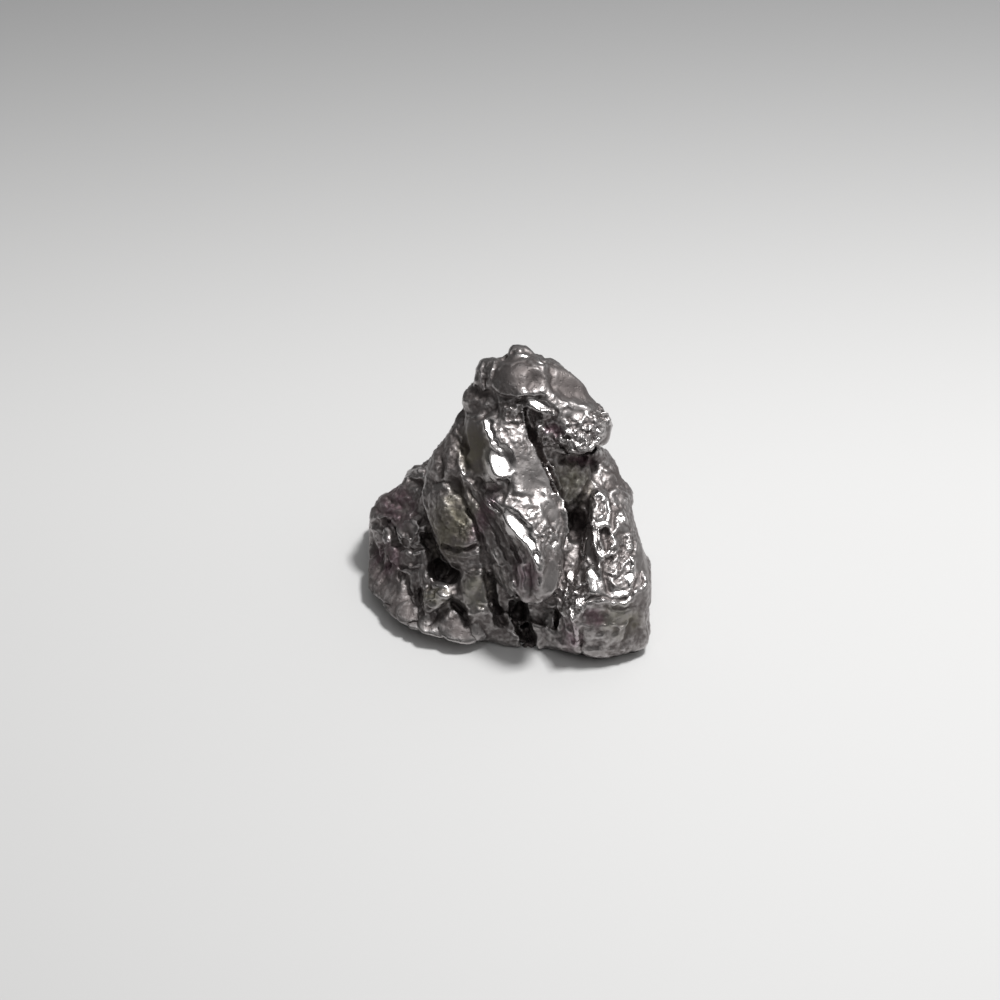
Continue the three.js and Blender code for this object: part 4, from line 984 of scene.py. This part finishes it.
# The polish term is partly painted highlight, and the dark term partly painted shade.
bare_sum = 0.40 + crest_wire * 0.5 + polish_and_highlight * 0.6 + worn * 0.16 - oxide_and_shade_wire * 0.3 + blotch * busy_wire
bare = iron.ramp(bare_sum, 0.05, 1.15)

OXIDE = (0.158, 0.140, 0.136, 1)
OLIVE = (0.168, 0.155, 0.108, 1)
PURPLE = (0.170, 0.108, 0.128, 1)
IRON = (0.49, 0.468, 0.462, 1)
OLIVE_IRON = (0.44, 0.42, 0.345, 1)
PURPLE_IRON = (0.46, 0.375, 0.41, 1)
olive = iron.attribute("olive") * iron.ramp(mottle, 0.25, 0.65) * 0.7
purple = iron.attribute("purple") * iron.ramp(mottle, 0.3, 0.65) * 0.85
oxide = iron.blend(purple, iron.blend(olive, OXIDE, OLIVE), PURPLE)
metal = iron.blend(purple, iron.blend(olive, IRON, OLIVE_IRON), PURPLE_IRON)
iron.put(iron.finish.inputs["Base Color"], iron.blend(bare, oxide, metal))
iron.put(iron.finish.inputs["Metallic"], 1.0)
iron.put(iron.finish.inputs["Roughness"], 0.57 - bare * 0.36 + oxide_and_shade_wire * 0.1 + (speck - 0.5) * 0.14)

pits = iron.ramp(iron.cells(here, 0.00045, {}), 0.0, 0.35)
grain = iron.cloud(here, 0.00014, 2.0)
height = pits * (1 - bare * 0.7) * 0.6 + speck * (1.2 + torn * 2.0) * busy_wire + grain * 0.3
bump_values = {"Strength": 0.6, "Distance": 0.00009, "Height": height}
iron.put(iron.finish.inputs["Normal"], iron.node("ShaderNodeBump", {}, bump_values))
print("nodes in the iron:", len(iron.tree.nodes))

# %% [markdown]
# ## The finished stone
# The net goes back from millimetres to metres, shades smoothly, takes the iron, and is tied to the
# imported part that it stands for.

# %% Place the stone
stone_mesh.vertices.foreach_set("co", (vertex_numbers(stone_mesh, "co") * MM).ravel().astype(np.float32))
stone_mesh.materials.append(iron.material)
stone_mesh.shade_smooth()
stone_mesh.update()
stone = bpy.data.objects.new("meteorite_stone", stone_mesh)
bpy.context.scene.collection.objects.link(stone)
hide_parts("meteorite")
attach(stone, "root")

# %% [markdown]
# ## Table, lamp and room
# The stone stands on a plain pale table top, whose colour darkens towards the back as painted shade
# for the lamp's falloff. A broad lamp hangs over it, a little to the right, and is mirrored as the
# white glints. A dim even room fills the shadows. Bare metal shows nothing but its surroundings, so
# the room's grey matters as much as the lamp.

# %% Table top
FLOOR_HALF = 1.5

# Painted shade: the table top's colour fades from a lit grey near the stone to a shaded grey at the back, standing in
# for the lamp's falloff.
NEAR_LIT_GREY = (0.550, 0.548, 0.544, 1)
FAR_SHADE_GREY = (0.215, 0.215, 0.217, 1)

table = Shader("pale table top")
corner_ways = {"Vector": table.place()}
across = table.node("ShaderNodeSeparateXYZ", {}, corner_ways, "X")
deep = table.node("ShaderNodeSeparateXYZ", {}, corner_ways, "Y")
# Painted shade: the table top gets darker towards the back.
painted_falloff = table.ramp(deep, 0.01, 0.13)
table.put(table.finish.inputs["Base Color"], table.blend(painted_falloff, NEAR_LIT_GREY, FAR_SHADE_GREY))
table.put(table.finish.inputs["Roughness"], 0.6)
floor_mesh = bpy.data.meshes.new("table top")
corners = [(-1, -1), (1, -1), (1, 1), (-1, 1)]
floor_mesh.from_pydata([(x * FLOOR_HALF, y * FLOOR_HALF, 0) for x, y in corners], [], [(0, 1, 2, 3)])
floor_mesh.materials.append(table.material)
floor = bpy.data.objects.new("table top", floor_mesh)
bpy.context.scene.collection.objects.link(floor)
floor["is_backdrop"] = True

# %% Lamp and room
HORIZON_GREY = 0.06
OVERHEAD_GREY = 0.74
TENT_TOP = (0.36, 0.12, 0.925)


def lamp(name, place, power, size):
    light = bpy.data.lights.new(name, "AREA")
    light.energy = power
    light.size = size
    holder = bpy.data.objects.new(name, light)
    holder.location = place
    holder.rotation_euler = (Vector((0, 0, 0.01)) - holder.location).to_track_quat("-Z", "Y").to_euler()
    bpy.context.scene.collection.objects.link(holder)


lamp("overhead lamp", (0.085, 0.025, 0.27), 0.88, 0.05)


class RoomShader(Shader):
    def __init__(self, name):
        self.world = bpy.data.worlds.new(name)
        self.world.use_nodes = True
        self.tree = self.world.node_tree


room = RoomShader("light tent")
direction = room.node("ShaderNodeTexCoord", {}, {}, "Generated")
toward_lamp = room.node("ShaderNodeVectorMath", {"operation": "DOT_PRODUCT"}, {0: direction, 1: TENT_TOP}, "Value")
horizon = (HORIZON_GREY, HORIZON_GREY, HORIZON_GREY, 1)
overhead = (OVERHEAD_GREY, OVERHEAD_GREY, OVERHEAD_GREY, 1)
tent = room.blend(room.ramp(toward_lamp, 0.2, 1.0), horizon, overhead)
room.put(room.tree.nodes["Background"].inputs["Color"], tent)
bpy.context.scene.world = room.world
bpy.context.scene.view_settings.view_transform = "Standard"

# %% [markdown]
# ## Camera
# The camera looks down 42 degrees at the face through a long lens, so near and far ridges keep
# their true proportions, as in a close-up taken from a step away.

# %% Camera
CAMERA_DISTANCE = 0.6
LENS = 216
AIM = Vector(from_face(np.array((-1.0, 8.0, 8.0))) * MM)

camera = bpy.data.cameras.new("camera")
camera.lens = LENS
camera.sensor_width = 36
camera_holder = bpy.data.objects.new("camera", camera)
camera_holder.location = AIM + CAMERA_DISTANCE * Vector(FACE_AXES[2])
camera_holder.rotation_euler = (math.radians(90) - LEAN, 0, 0)
bpy.context.scene.collection.objects.link(camera_holder)
bpy.context.scene.camera = camera_holder

# %% [markdown]
# ## The stone's size
# The skin's box is printed, as the imported part's box was at the start, so the two can be compared.

low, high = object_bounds()
print("stone box in mm:", [round(1000 * (b - a), 2) for a, b in zip(low, high)])
